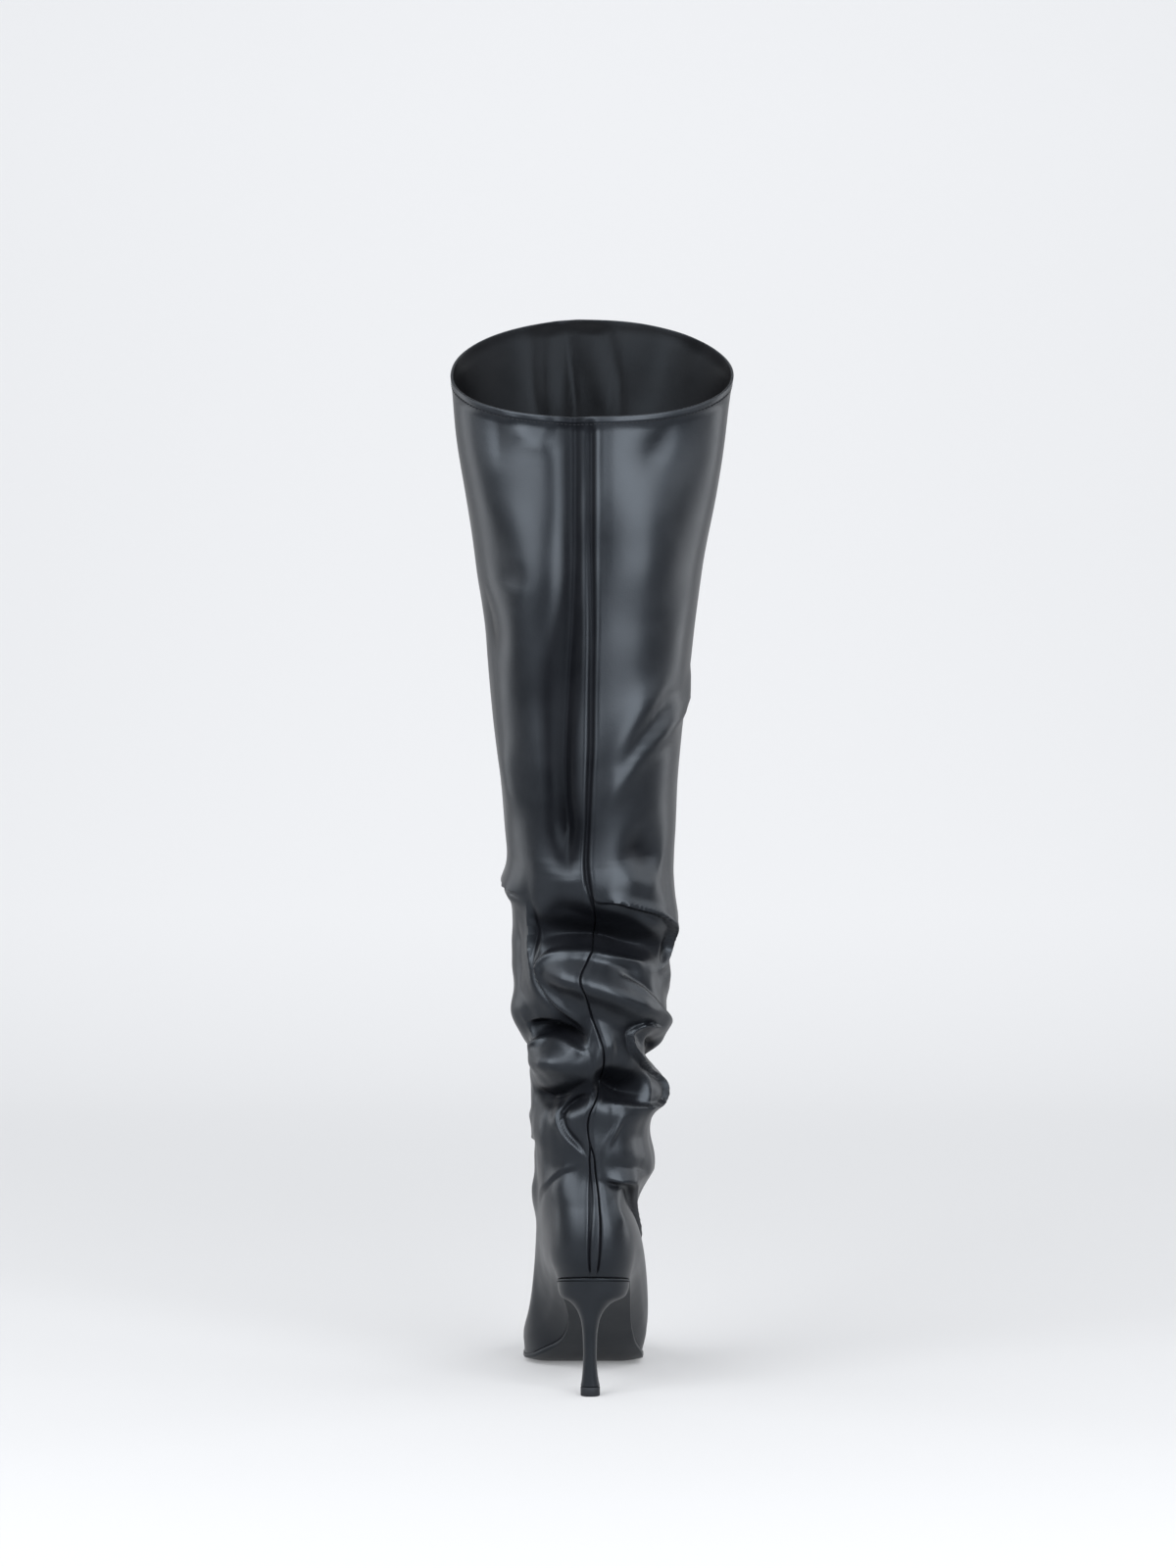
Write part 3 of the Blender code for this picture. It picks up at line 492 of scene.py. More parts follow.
def smooth_table(table, column, at):
    """Value of one column of a table at a place along its first column, on a smooth curve."""
    place = np.array([row[0] for row in table], dtype=float)
    value = np.array([row[column] for row in table], dtype=float)
    slope = np.gradient(value, place)
    at = np.clip(np.asarray(at, dtype=float), place[0], place[-1])
    index = np.clip(np.searchsorted(place, at, side="right") - 1, 0, len(place) - 2)
    step = place[index + 1] - place[index]
    share = (at - place[index]) / step
    rest = 1.0 - share
    start = value[index] * (1.0 + 2.0 * share) * rest ** 2
    end = value[index + 1] * (3.0 - 2.0 * share) * share ** 2
    lean = slope[index] * share * rest ** 2 - slope[index + 1] * share ** 2 * rest
    return start + end + lean * step


def ease(value):
    """0 below 0, 1 above 1 and a smooth step between."""
    value = np.clip(value, 0.0, 1.0)
    return value * value * (3.0 - 2.0 * value)


def along_of(y):
    """Share of the foot length at a place along the boot."""
    return (y + HEEL_PITCH) / FOOT_LENGTH


def sole_height(along):
    """Height of the sole's underside on its middle line."""
    along = np.asarray(along, dtype=float)
    flat = [row[0] for row in SOLE_PROFILE if row[1] == 0.0 and row[2] == 0.0]
    under_heel = smooth_table(SOLE_PROFILE, 1, along) * HEEL_HEIGHT
    curve = under_heel + smooth_table(SOLE_PROFILE, 2, along) * TOE_SPRING
    is_flat = (along >= flat[0]) & (along <= flat[-1])
    return np.where(is_flat, 0.0, np.maximum(curve, 0.0))


def sole_middle(along):
    """Sideways place of the sole's middle line."""
    return smooth_table(SOLE_PLAN, 1, along) * SEAT_SHIFT - smooth_table(SOLE_PLAN, 2, along) * TOE_SHIFT


def sole_half_width(along):
    """Half width of the sole, with the heel and the toe rounded off."""
    along = np.clip(np.asarray(along, dtype=float), 0.0, 1.0)
    seat = smooth_table(SOLE_PLAN, 3, along) * SEAT_WIDTH / 2
    width = seat + smooth_table(SOLE_PLAN, 4, along) * BALL_WIDTH / 2
    heel_end = np.clip(1.0 - along / HEEL_ROUND, 0.0, 1.0)
    toe_end = np.clip(1.0 - (1.0 - along) / TOE_ROUND, 0.0, 1.0)
    return width * np.sqrt(1.0 - heel_end ** 2) * np.sqrt(1.0 - toe_end ** 2)


def sole_top(x, y):
    """Height of the outsole's upper face at a place."""
    along = along_of(np.asarray(y, dtype=float))
    half = np.maximum(sole_half_width(along), NARROWEST_HALF)
    across = np.clip((x - sole_middle(along)) / half, -1.0, 1.0)
    under_ball = np.clip((along - CROWN_START) / CROWN_RUN, 0.0, 1.0)
    edge = np.clip((np.abs(across) - CROWN_FLAT) / CROWN_EDGE, 0.0, 1.0)
    return sole_height(along) + SOLE_CROWN * under_ball * edge ** CROWN_POWER + sole_thickness(along)


def sole_thickness(along):
    """The outsole is thin under the heel seat and full from the waist on."""
    share = np.clip((np.asarray(along, dtype=float) - THIN_SEAT_END) / THICKEN_RUN, 0.0, 1.0)
    return SEAT_THICKNESS + (OUTSOLE_THICKNESS - SEAT_THICKNESS) * share


def ring_share(angle):
    """0 at the back of a ring and 1 at its front."""
    return (1.0 - np.cos(angle)) / 2.0


def foot_ring(share, angle):
    """Points of one ring between the feather line (0) and the ankle (1)."""
    column = [float(smooth_table(FOOT_RINGS, index, share)) for index in range(1, 8)]
    back_out, back_up, front_in, front_up, medial, lateral, opened = column
    seat_back = -HEEL_PITCH + SOLE_EDGE
    toe_front = FOOT_LENGTH - HEEL_PITCH - SOLE_EDGE
    seat_height = sole_top(0.0, seat_back) + FIT_GAP
    toe_height = sole_top(0.0, toe_front) + FIT_GAP
    if back_out >= 0.0:
        back_y = seat_back - HEEL_BULGE * back_out / FULLEST_BACK
    else:
        back_y = seat_back + (-ANKLE_BACK - seat_back) * -back_out
    back_z = seat_height + (ANKLE_BACK_HEIGHT - seat_height) * back_up
    front_y = toe_front + (ANKLE_FRONT - toe_front) * front_in
    front_z = toe_height + (ANKLE_BACK_HEIGHT + ANKLE_RISE - toe_height) * front_up
    k = ring_share(angle)
    y = back_y + (front_y - back_y) * k
    side = np.sign(np.sin(angle))
    half = sole_half_width(k) - SOLE_EDGE * np.abs(np.sin(angle))
    fullness = OVAL_FULLNESS_BACK + (OVAL_FULLNESS_FRONT - OVAL_FULLNESS_BACK) * k
    girth = np.where(side > 0, lateral, medial) * UPPER_BALL_WIDTH / 2
    oval = girth * np.abs(np.sin(angle)) ** fullness
    to_ankle = np.clip((share - SHAFT_TURN_START) / (1.0 - SHAFT_TURN_START), 0.0, 1.0) ** SHAFT_TURN_POWER
    at_ankle = ease((share - ANKLE_OVAL_START) / ANKLE_OVAL_RUN)
    ankle_half = np.where(side > 0, ANKLE_LATERAL, ANKLE_MEDIAL) * np.abs(np.sin(angle))
    oval = oval * (1.0 - at_ankle) + ankle_half * at_ankle
    on_sole = sole_middle(k) * (1.0 - opened ** 2)
    middle = on_sole + SEAT_SHIFT * (1.0 - k) * opened ** 2 * (1.0 - to_ankle)
    x = middle + side * (half * (1.0 - opened) + oval * opened)
    back_rise = back_z - sole_top(0.0, back_y) - FIT_GAP
    front_rise = front_z - sole_top(0.0, front_y) - FIT_GAP
    over_sole = sole_top(x, y) + FIT_GAP + back_rise + (front_rise - back_rise) * k
    ring_line = back_z + (front_z - back_z) * k ** SHAFT_ANGLE_POWER
    z = over_sole * (1.0 - to_ankle) + ring_line * to_ankle
    return np.stack([x, y, z], axis=-1)


def shaft_ring(up, angle):
    """Points of one ring of the shaft, from the ankle (0) to the collar (1), without its folds."""
    medial = ANKLE_MEDIAL + (COLLAR_MEDIAL - ANKLE_MEDIAL) * smooth_table(SHAFT_SECTIONS, 1, up)
    lateral = ANKLE_LATERAL + (COLLAR_LATERAL - ANKLE_LATERAL) * smooth_table(SHAFT_SECTIONS, 2, up)
    back = ANKLE_BACK + (COLLAR_BACK - ANKLE_BACK) * smooth_table(SHAFT_SECTIONS, 3, up)
    front = ANKLE_FRONT + (COLLAR_FRONT - ANKLE_FRONT) * smooth_table(SHAFT_SECTIONS, 4, up)
    rise = ANKLE_RISE + (COLLAR_RISE - ANKLE_RISE) * up ** 2
    k = ring_share(angle)
    half = np.where(np.sin(angle) > 0, lateral, medial)
    return np.stack([
        half * np.sin(angle),
        -back + (front + back) * k,
        ANKLE_BACK_HEIGHT + SHAFT_LENGTH * up + rise * k ** SHAFT_ANGLE_POWER,
    ], axis=-1)


def path_reach(path, up, degrees, reach):
    """Which grid points lie near a path, their distance to it, their side of it and their share along it."""
    high = up * SHAFT_LENGTH
    middle = (path[:, 0].min() + path[:, 0].max()) / 2 / FOLD_TURN_LENGTH
    turn = (degrees - math.degrees(middle) + 180.0) % 360.0 - 180.0
    around = (np.radians(turn) + middle) * FOLD_TURN_LENGTH
    near = (around > path[:, 0].min() - reach) & (around < path[:, 0].max() + reach)
    near &= (high > path[:, 1].min() - reach) & (high < path[:, 1].max() + reach)
    place = np.stack([around[near], high[near]], axis=-1)
    along = np.diff(path, axis=0)
    square = (along ** 2).sum(axis=1)
    best = np.full(len(place), np.inf)
    side = np.zeros(len(place))
    reached = np.zeros(len(place))
    for index in range(len(along)):
        away = place - path[index]
        share = np.clip((away @ along[index]) / square[index], 0.0, 1.0)
        gap = away - share[:, None] * along[index]
        distance = (gap ** 2).sum(axis=1)
        closer = distance < best
        best = np.where(closer, distance, best)
        side = np.where(closer, along[index, 0] * away[:, 1] - along[index, 1] * away[:, 0], side)
        reached = np.where(closer, (index + share) / len(along), reached)
    return near, np.sqrt(best), np.sign(side), reached


def fold_shift(up, degrees):
    """Outward push and sag of the main folds, over the whole grid."""
    push = np.zeros_like(degrees)
    sag = np.zeros_like(degrees)
    t = np.linspace(0.0, 1.0, FOLD_STEPS)
    for fold in FOLDS:
        start, middle, end = (np.array(fold[index:index + 2], dtype=float) for index in (0, 2, 4))
        bend = 2.0 * middle - (start + end) / 2.0
        path = np.outer((1 - t) ** 2, start) + np.outer(2 * t * (1 - t), bend) + np.outer(t ** 2, end)
        path = np.stack([np.radians(path[:, 0]) * FOLD_TURN_LENGTH, path[:, 1] * SHAFT_LENGTH], axis=-1)
        half_width = fold[6] * FOLD_DEPTH
        near, distance, _, reached = path_reach(path, up, degrees, FOLD_REACH * half_width)
        fade = np.minimum(1.0, 4.0 * reached * (1.0 - reached) + FOLD_END_STRENGTH)
        strength = fade * np.exp(-(distance / half_width) ** 2)
        push[near] += fold[7] * FOLD_DEPTH * strength
        sag[near] += fold[8] * FOLD_DEPTH * strength
    return push, sag


def crease_path(points):
    """A smooth run of places along a crease, in metres round and up the shaft, and its length."""
    corner = np.array([(math.radians(deg) * FOLD_TURN_LENGTH, up * SHAFT_LENGTH) for deg, up in points])
    run = np.concatenate([[0.0], np.cumsum(np.linalg.norm(np.diff(corner, axis=0), axis=1))])
    at = np.linspace(0.0, run[-1], max(CREASE_LEAST_PLACES, int(run[-1] / CREASE_SPACING)))
    table = [(run[index], corner[index, 0], corner[index, 1]) for index in range(len(corner))]
    return np.stack([smooth_table(table, 1, at), smooth_table(table, 2, at)], axis=-1), run[-1]


def stroke_strength(distance, width, push):
    """Strength of a crease at a distance from its path: round where it swells, pointed where it is cut in."""
    return np.exp(-(distance / (width * CREASE_UNIT)) ** (CREASE_BACK if push > 0 else HOLLOW_BACK))


def crease_shift(up, degrees):
    """Outward push and overhang of the listed creases, over the whole grid."""
    push = np.zeros_like(degrees)
    drop = np.zeros_like(degrees)
    for points, *stroke in CREASES:
        if len(stroke) == 2:
            stroke = (*stroke, *stroke, *EVEN_STROKE)
        left_width, left_push, right_width, right_push, step, overhang = stroke
        path, length = crease_path(points)
        widest = max(left_width, right_width) * CREASE_UNIT
        near, distance, side, reached = path_reach(path, up, degrees, FOLD_REACH * widest)
        fade_length = min(CREASE_LONGEST_FADE, CREASE_FADE * widest / length)
        fade = ease(reached / fade_length + CREASE_END_STRENGTH)
        fade = fade * ease((1.0 - reached) / fade_length + CREASE_END_STRENGTH)
        left = stroke_strength(distance, left_width, left_push)
        right = stroke_strength(distance, right_width, right_push)
        mix = ease(0.5 + 0.5 * side * distance / (step * CREASE_UNIT))
        push[near] += CREASE_UNIT * fade * (left_push * left * mix + right_push * right * (1.0 - mix))
        drop[near] += CREASE_UNIT * overhang * fade * left * mix
    return push, drop


def slack_shift(up, degrees):
    """Slow waves of slack leather, a fraction of a millimetre deep, finer where it slouches."""
    angle = np.radians(degrees)
    low, middle, fine = (
        np.sin(around * angle + rising * up + start) * np.sin(around_2 * angle + rising_2 * up + start_2)
        for around, rising, start, around_2, rising_2, start_2 in SLACK_WAVES
    )
    slouch = ease((SLACK_TOP - up) / SLACK_TOP_RUN) * ease((up - SLACK_BOTTOM) / SLACK_BOTTOM_RUN)
    plain = SLACK_LOW * low + SLACK_MIDDLE * middle
    return plain + slouch * (SLOUCH_MIDDLE * middle + SLOUCH_FINE * fine)


def seam_turn(up):
    """Angle of the back seam at a height."""
    place = [row[0] for row in BACK_SEAM]
    turn = [row[1] for row in BACK_SEAM]
    fine = np.linspace(place[0], place[-1], SEAM_PLACES)
    wander = np.pad(np.interp(fine, place, turn), SEAM_WINDOW // 2, mode="edge")
    window = np.hanning(SEAM_WINDOW)
    wander = np.convolve(wander, window / window.sum(), mode="valid")
    return np.radians(np.interp(up, fine, wander))


def sleeve_angles():
    """Angles of the columns, closer together at the back seam."""
    plain = np.arange(COLUMNS) * 2.0 * math.pi / COLUMNS
    plain = (plain + math.pi) % (2.0 * math.pi) - math.pi
    seam = np.linspace(-SEAM_SPREAD, SEAM_SPREAD, SEAM_COLUMNS + 1)
    apart = plain[np.abs(plain) > SEAM_SPREAD * SEAM_CLEARANCE]
    return np.sort(np.concatenate([apart, seam]))


def sleeve_places():
    """Rows of the leather from the feather line to the collar, as their share up the shaft."""
    feather = -(ANKLE_BACK_HEIGHT - HEEL_HEIGHT) / SHAFT_LENGTH
    foot = np.linspace(0.0, 1.0, FOOT_ROWS + 1)[:-1]
    slouch = np.linspace(0.0, SLOUCH_TOP, SLOUCH_ROWS + 1)[:-1]
    edge = 1.0 - COLLAR_EDGE_HEIGHT / SHAFT_LENGTH
    plain = np.linspace(SLOUCH_TOP, edge, PLAIN_ROWS + 1)
    top = edge + (1.0 - edge) * np.array(COLLAR_EDGE_ROWS)
    shaft = np.concatenate([slouch, plain, top])
    up = np.concatenate([feather * (1.0 - foot), shaft])
    return foot, shaft, up


def smooth_joint(grid, middle):
    """Evens out the rows near the ankle, where the foot's rings meet the shaft's."""
    rows = np.arange(len(grid))
    weight = ease(1.0 - np.abs(rows - middle) / JOINT_REACH)[:, None, None] / 2
    for _ in range(JOINT_TURNS):
        even = grid.copy()
        even[1:-1] = (grid[:-2] + grid[2:]) / 2.0
        grid = grid * (1.0 - weight) + even * weight
    return grid


def sleeve_normals(grid):
    """Unit normals of a closed sleeve of points, facing out."""
    round_way = np.roll(grid, -1, axis=1) - np.roll(grid, 1, axis=1)
    up_way = np.gradient(grid, axis=0)
    normal = np.cross(round_way, up_way)
    length = np.linalg.norm(normal, axis=2, keepdims=True)
    return normal / np.maximum(length, TINY ** 2)


def seam_relief(up, base_angle):
    """The back seam's groove, and the height of its shoulders and of the strip over the counter."""
    seam = np.abs(base_angle)[None, :] * FOLD_TURN_LENGTH * np.ones_like(up)
    plain = ease((up - PLAIN_SEAM_START) / PLAIN_SEAM_RUN)
    strip_half = STRIP_HALF_WIDTH * ease((up - STRIP_BOTTOM) / STRIP_BOTTOM_RUN)
    strip_half = strip_half * ease((STRIP_TOP - up) / STRIP_TOP_RUN)
    width = FOLDED_GROOVE + (SEAM_GROOVE - FOLDED_GROOVE) * plain
    depth = FOLDED_GROOVE_DEPTH + (SEAM_GROOVE_DEPTH - FOLDED_GROOVE_DEPTH) * plain
    groove = -depth * np.exp(-((seam - strip_half) / width) ** 2)
    shoulder = SEAM_SHOULDER_RISE * np.exp(-((seam - SEAM_SHOULDER) / (SEAM_SHOULDER / 2)) ** 2)
    return groove, shoulder + ease((strip_half - seam) / FOLDED_GROOVE) * STRIP_RISE


def leather_grid():
    """Outer face of the leather with its folds, creases, seam and collar edge, its normals, and a mask of
    painted shade in its deep folds and seam groove.
    """
    base_angle = sleeve_angles()
    foot, shaft, up_rows = sleeve_places()
    back_sag = fold_shift(up_rows, np.zeros_like(up_rows))[1]
    near_seam = np.clip(1.0 - np.abs(base_angle) / SEAM_REACH, 0.0, 1.0)
    turn = seam_turn(up_rows - back_sag / SHAFT_LENGTH)[:, None] * near_seam[None, :]
    angle = base_angle[None, :] + turn
    up = np.repeat(up_rows[:, None], len(base_angle), axis=1)
    degrees = np.degrees(angle)
    rings = [foot_ring(share, angle[row]) for row, share in enumerate(foot)]
    rings += [shaft_ring(place, angle[len(foot) + row]) for row, place in enumerate(shaft)]
    grid = smooth_joint(np.array(rings), len(foot))
    foot_share = np.concatenate([foot, np.ones(len(shaft))])[:, None]
    fold_push, fold_sag = fold_shift(up, degrees)
    crease_push, crease_sag = crease_shift(up - fold_sag / SHAFT_LENGTH, degrees)
    hold_folds = foot_share ** FOLD_FOOT_POWER
    hold_creases = ease((foot_share - CREASE_FOOT_START) / CREASE_FOOT_RUN)
    push = fold_push * hold_folds + crease_push * hold_creases
    push += slack_shift(up, degrees) * hold_creases
    sag = fold_sag * hold_folds + crease_sag * hold_creases
    out = np.stack([np.sin(angle), -np.cos(angle), np.zeros_like(angle)], axis=-1)
    skin = grid + out * push[:, :, None]
    skin[:, :, 2] -= sag
    groove, shoulder = seam_relief(up, base_angle)
    below_rim = ease((1.0 - up) / (2.0 * COLLAR_EDGE_HEIGHT / SHAFT_LENGTH))
    above_feather = ease(foot_share / FEATHER_RUN)
    normal = sleeve_normals(skin)
    detail = (groove + shoulder) * below_rim * above_feather
    edge_place = 1.0 - COLLAR_EDGE_HEIGHT / SHAFT_LENGTH
    detail = detail + np.where(up > edge_place + TINY, COLLAR_EDGE_STEP, 0.0)
    # Painted shade: a mask that takes sheen and coat off the leather deep in the folds and in the seam
    # groove, where shade falls
    painted_shade = ease((-push * foot_share - PAINTED_SHADE_START) / (PAINTED_SHADE_FULL - PAINTED_SHADE_START))
    painted_shade = np.maximum(painted_shade, ease(-groove * below_rim * above_feather / GROOVE_SHADE_FULL))
    return skin + normal * detail[:, :, None], normal, painted_shade


def inside_grid(skin, normal):
    """The lining's face: one wall in from the deepest leather near each of its points."""
    out = normal.copy()
    out[:, :, 2] *= LINING_TILT
    out /= np.linalg.norm(out, axis=2, keepdims=True)
    middle = skin.mean(axis=1, keepdims=True)
    flat = skin - middle
    flat[:, :, 2] = 0.0
    reach = np.linalg.norm(flat, axis=2)
    deepest = reach.copy()
    for row_shift in LINING_WINDOW:
        shifted = np.roll(reach, row_shift, axis=0)
        if row_shift > 0:
            shifted[:row_shift] = reach[:row_shift]
        if row_shift < 0:
            shifted[row_shift:] = reach[row_shift:]
        for column_shift in LINING_WINDOW:
            deepest = np.minimum(deepest, np.roll(shifted, column_shift, axis=1))
    gap = np.clip(reach - deepest, 0.0, LINING_MOST_GAP)
    rows = len(skin)
    plain_end = np.clip((rows - 1 - np.arange(rows)) / LINING_PLAIN_ROWS, 0.0, 1.0)[:, None]
    inner = skin - out * (UPPER_WALL + gap * plain_end)[:, :, None]
    inner[0, :, 2] = skin[0, :, 2]
    return inner


def add_mesh(name, points, faces, surfaces, slots=None, sharp=50.0):
    """A smoothly shaded mesh object from points and faces, with its materials."""
    mesh = bpy.data.meshes.new(name)
    mesh.from_pydata(np.asarray(points).tolist(), [], faces)
    for surface in surfaces:
        mesh.materials.append(surface)
    if slots is not None:
        mesh.polygons.foreach_set("material_index", slots)
    mesh.shade_smooth()
    mesh.set_sharp_from_angle(angle=math.radians(sharp))
    mesh.update()
    made = bpy.data.objects.new(name, mesh)
    bpy.context.collection.objects.link(made)
    return made


def strip(lower, upper, count):
    """Four-sided faces between two closed rings of points, given by their first indices."""
    return [
        (lower + index, lower + (index + 1) % count, upper + (index + 1) % count, upper + index)
        for index in range(count)
    ]


def upper_leather(leather, lining):
    """The upper: fine leather outside, a rolled collar edge, and the lining inside."""
    skin, normal, painted_shade = leather_grid()
    inner = inside_grid(skin, normal)
    rows = len(skin)
    top_out = skin[-1]
    top_in = inner[-1]
    across = top_out - top_in
    width = np.linalg.norm(across, axis=1, keepdims=True)
    up_way = skin[-1] - skin[-2]
    up_way /= np.linalg.norm(up_way, axis=1, keepdims=True)
    rim = []
    for part in range(1, RIM_STEPS):
        swing = math.pi * part / RIM_STEPS
        spot = (top_out + top_in) / 2 + across / 2 * math.cos(swing)
        rim.append(spot + up_way * width / 2 * math.sin(swing) * RIM_HEIGHT)
    full = skin.shape[1]
    outside = list(skin) + rim + [top_in]
    points = np.concatenate(outside)
    faces = []
    for row in range(len(outside) - 1):
        faces += strip(row * full, (row + 1) * full, full)
    leather_faces = len(faces)
    inside_rows = [rows - 3]
    inside_rows += list(range(rows - 4, 0, -INSIDE_STEP))
    inside_rows.append(0)
    half = np.arange(0, full, INSIDE_STEP)
    count = len(half)
    first = len(points)
    points = np.concatenate([points] + [inner[row][half] for row in inside_rows])
    top = (len(outside) - 1) * full
    faces += join_rings(top, full, first, half, count)
    for row in range(len(inside_rows) - 1):
        faces += strip(first + row * count, first + (row + 1) * count, count)
    last = first + (len(inside_rows) - 1) * count
    faces += [tuple(reversed(face)) for face in join_rings(0, full, last, half, count)]
    slots = np.zeros(len(faces), dtype=np.int32)
    slots[leather_faces:] = 1
    made = add_mesh("upper_leather", points, faces, [leather, lining], slots, sharp=75.0)
    # The mask of painted shade in the folds and the seam groove goes onto the leather's points
    depth = np.zeros(len(points), dtype=np.float32)
    depth[:painted_shade.size] = painted_shade.ravel()
    made.data.attributes.new("painted_shade", "FLOAT", "POINT").data.foreach_set("value", depth)
    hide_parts("upper")
    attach(made, "root")
    return skin, normal


def join_rings(fine, fine_count, coarse, half, count):
    """Faces between a fine ring and a coarser one that uses some of its columns."""
    faces = []
    for index in range(count):
        here = int(half[index])
        after = int(half[(index + 1) % count])
        steps = (after - here) % fine_count
        middle = steps // 2
        for step in range(steps):
            a = fine + (here + step) % fine_count
            b = fine + (here + step + 1) % fine_count
            corner = coarse + index if step < middle or steps == 1 else coarse + (index + 1) % count
            faces.append((a, b, corner))
        turn = fine + (here + middle) % fine_count
        faces.append((turn, coarse + (index + 1) % count, coarse + index))
    return faces


def collar_stitches(skin, normal, thread):
    """A row of short stitches just under the turned collar edge."""
    edge_row = len(skin) - len(COLLAR_EDGE_ROWS) - 1
    line = skin[edge_row] - (skin[edge_row] - skin[edge_row - 1]) * STITCH_DROP
    out = normal[edge_row]
    closed = np.concatenate([line, line[:1]])
    run = np.concatenate([[0.0], np.cumsum(np.linalg.norm(np.diff(closed, axis=0), axis=1))])
    total = int(run[-1] / STITCH_PITCH)
    points = []
    faces = []
    rings, sides = STITCH_RINGS, STITCH_SIDES
    out_closed = np.concatenate([out, out[:1]])
    for stitch in range(total):
        start = stitch * run[-1] / total
        at = np.linspace(start, start + STITCH_LENGTH, rings)
        centre = np.stack([np.interp(at, run, closed[:, axis]) for axis in range(3)], axis=-1)
        away = np.stack([np.interp(at, run, out_closed[:, axis]) for axis in range(3)], axis=-1)
        away /= np.linalg.norm(away, axis=1, keepdims=True)
        way = centre[-1] - centre[0]
        way /= np.linalg.norm(way)
        first = len(points)
        for ring in range(rings):
            share = ring / (rings - 1)
            body = STITCH_THICK / 2 * (STITCH_END + (1.0 - STITCH_END) * math.sin(math.pi * share) ** 0.5)
            lift = STITCH_THICK * STITCH_RISE * math.sin(math.pi * share) + STITCH_LIFT
            side_way = np.cross(away[ring], way)
            for side in range(sides):
                swing = 2.0 * math.pi * side / sides
                spot = centre[ring] + away[ring] * (lift + body * math.sin(swing))
                points.append(spot + side_way * body * math.cos(swing))
        for ring in range(rings - 1):
            faces += strip(first + ring * sides, first + (ring + 1) * sides, sides)
        faces.append(tuple(first + side for side in reversed(range(sides))))
        faces.append(tuple(first + (rings - 1) * sides + side for side in range(sides)))
    made = add_mesh("collar_stitches", np.array(points), faces, [thread])
    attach(made, "root")



def heel_ring(up):
    """One ring of the heel block, lying on the seat's own curve at its share of the height."""
    width_share, back_share, breast_share = (
        float(smooth_table(HEEL_SECTIONS, index, up)) for index in (1, 2, 3)
    )
    angle = np.arange(HEEL_COLUMNS) * 2.0 * math.pi / HEEL_COLUMNS
    half = STEM_WIDTH / 2 + (SEAT_WIDTH - STEM_WIDTH) / 2 * width_share
    back_y = -TIP_DEPTH / 2 + (-HEEL_PITCH + TIP_DEPTH / 2) * back_share
    slim_front = TIP_DEPTH / 2 * STEM_WIDTH / TIP_WIDTH
    front_y = slim_front + (BREAST - slim_front) * breast_share
    k = ring_share(angle)
    y = back_y + (front_y - back_y) * k
    blend = ease((k - BREAST_TURN_START) / BREAST_TURN_RUN)
    wide = max(0.0, min(1.0, width_share))
    breast = HEEL_BACK_FULLNESS + (HEEL_BREAST_FULLNESS - HEEL_BACK_FULLNESS) * wide
    fullness = HEEL_BACK_FULLNESS * (1.0 - blend) + breast * blend
    x = SEAT_SHIFT * width_share + half * np.sign(np.sin(angle)) * np.abs(np.sin(angle)) ** fullness
    seat = sole_height(along_of(y)) - FIT_GAP
    foot = TOP_PIECE_HEIGHT + FIT_GAP
    z = foot + (seat - foot) * up
    return np.stack([x, y, z], axis=-1)


def closed_stack(name, rings, surface):
    """A closed body through rings, bottom first, with a middle point in each end."""
    count = len(rings[0])
    points = np.concatenate(rings + [rings[0].mean(axis=0)[None], rings[-1].mean(axis=0)[None]])
    faces = []
    for index in range(len(rings) - 1):
        faces += strip(index * count, (index + 1) * count, count)
    low = len(rings) * count
    top = (len(rings) - 1) * count
    faces += [(low, (index + 1) % count, index) for index in range(count)]
    faces += [(low + 1, top + index, top + (index + 1) % count) for index in range(count)]
    return add_mesh(name, points, faces, [surface], sharp=38.0)



def covered_heel(surface):
    """The slim heel block in its leather cover."""
    ups = np.concatenate([[0.0], np.linspace(*HEEL_ROW_ENDS, HEEL_ROWS), [1.0]])
    rings = [heel_ring(up) for up in ups]
    low_middle = rings[0].mean(axis=0)
    rings[0][:, :2] = low_middle[:2] + (rings[0][:, :2] - low_middle[:2]) * HEEL_FOOT_DRAW
    made = closed_stack("heel_cover", rings, surface)
    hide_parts("heel")
    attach(made, "root")


def wearing_top_piece(surface):
    """The top piece with its rounded corners and a fine joint line to the heel."""
    tip = heel_ring(0.0)
    middle = tip.mean(axis=0)
    rings = []
    half_width = TIP_WIDTH / 2
    for height, inset in TOP_PIECE_RINGS:
        ring = tip.copy()
        ring[:, :2] = middle[:2] + (tip[:, :2] - middle[:2]) * (1.0 - inset / half_width)
        ring[:, 2] = height
        rings.append(ring)
    made = closed_stack("top_piece_rubber", rings, surface)
    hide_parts("top_piece")
    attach(made, "root")



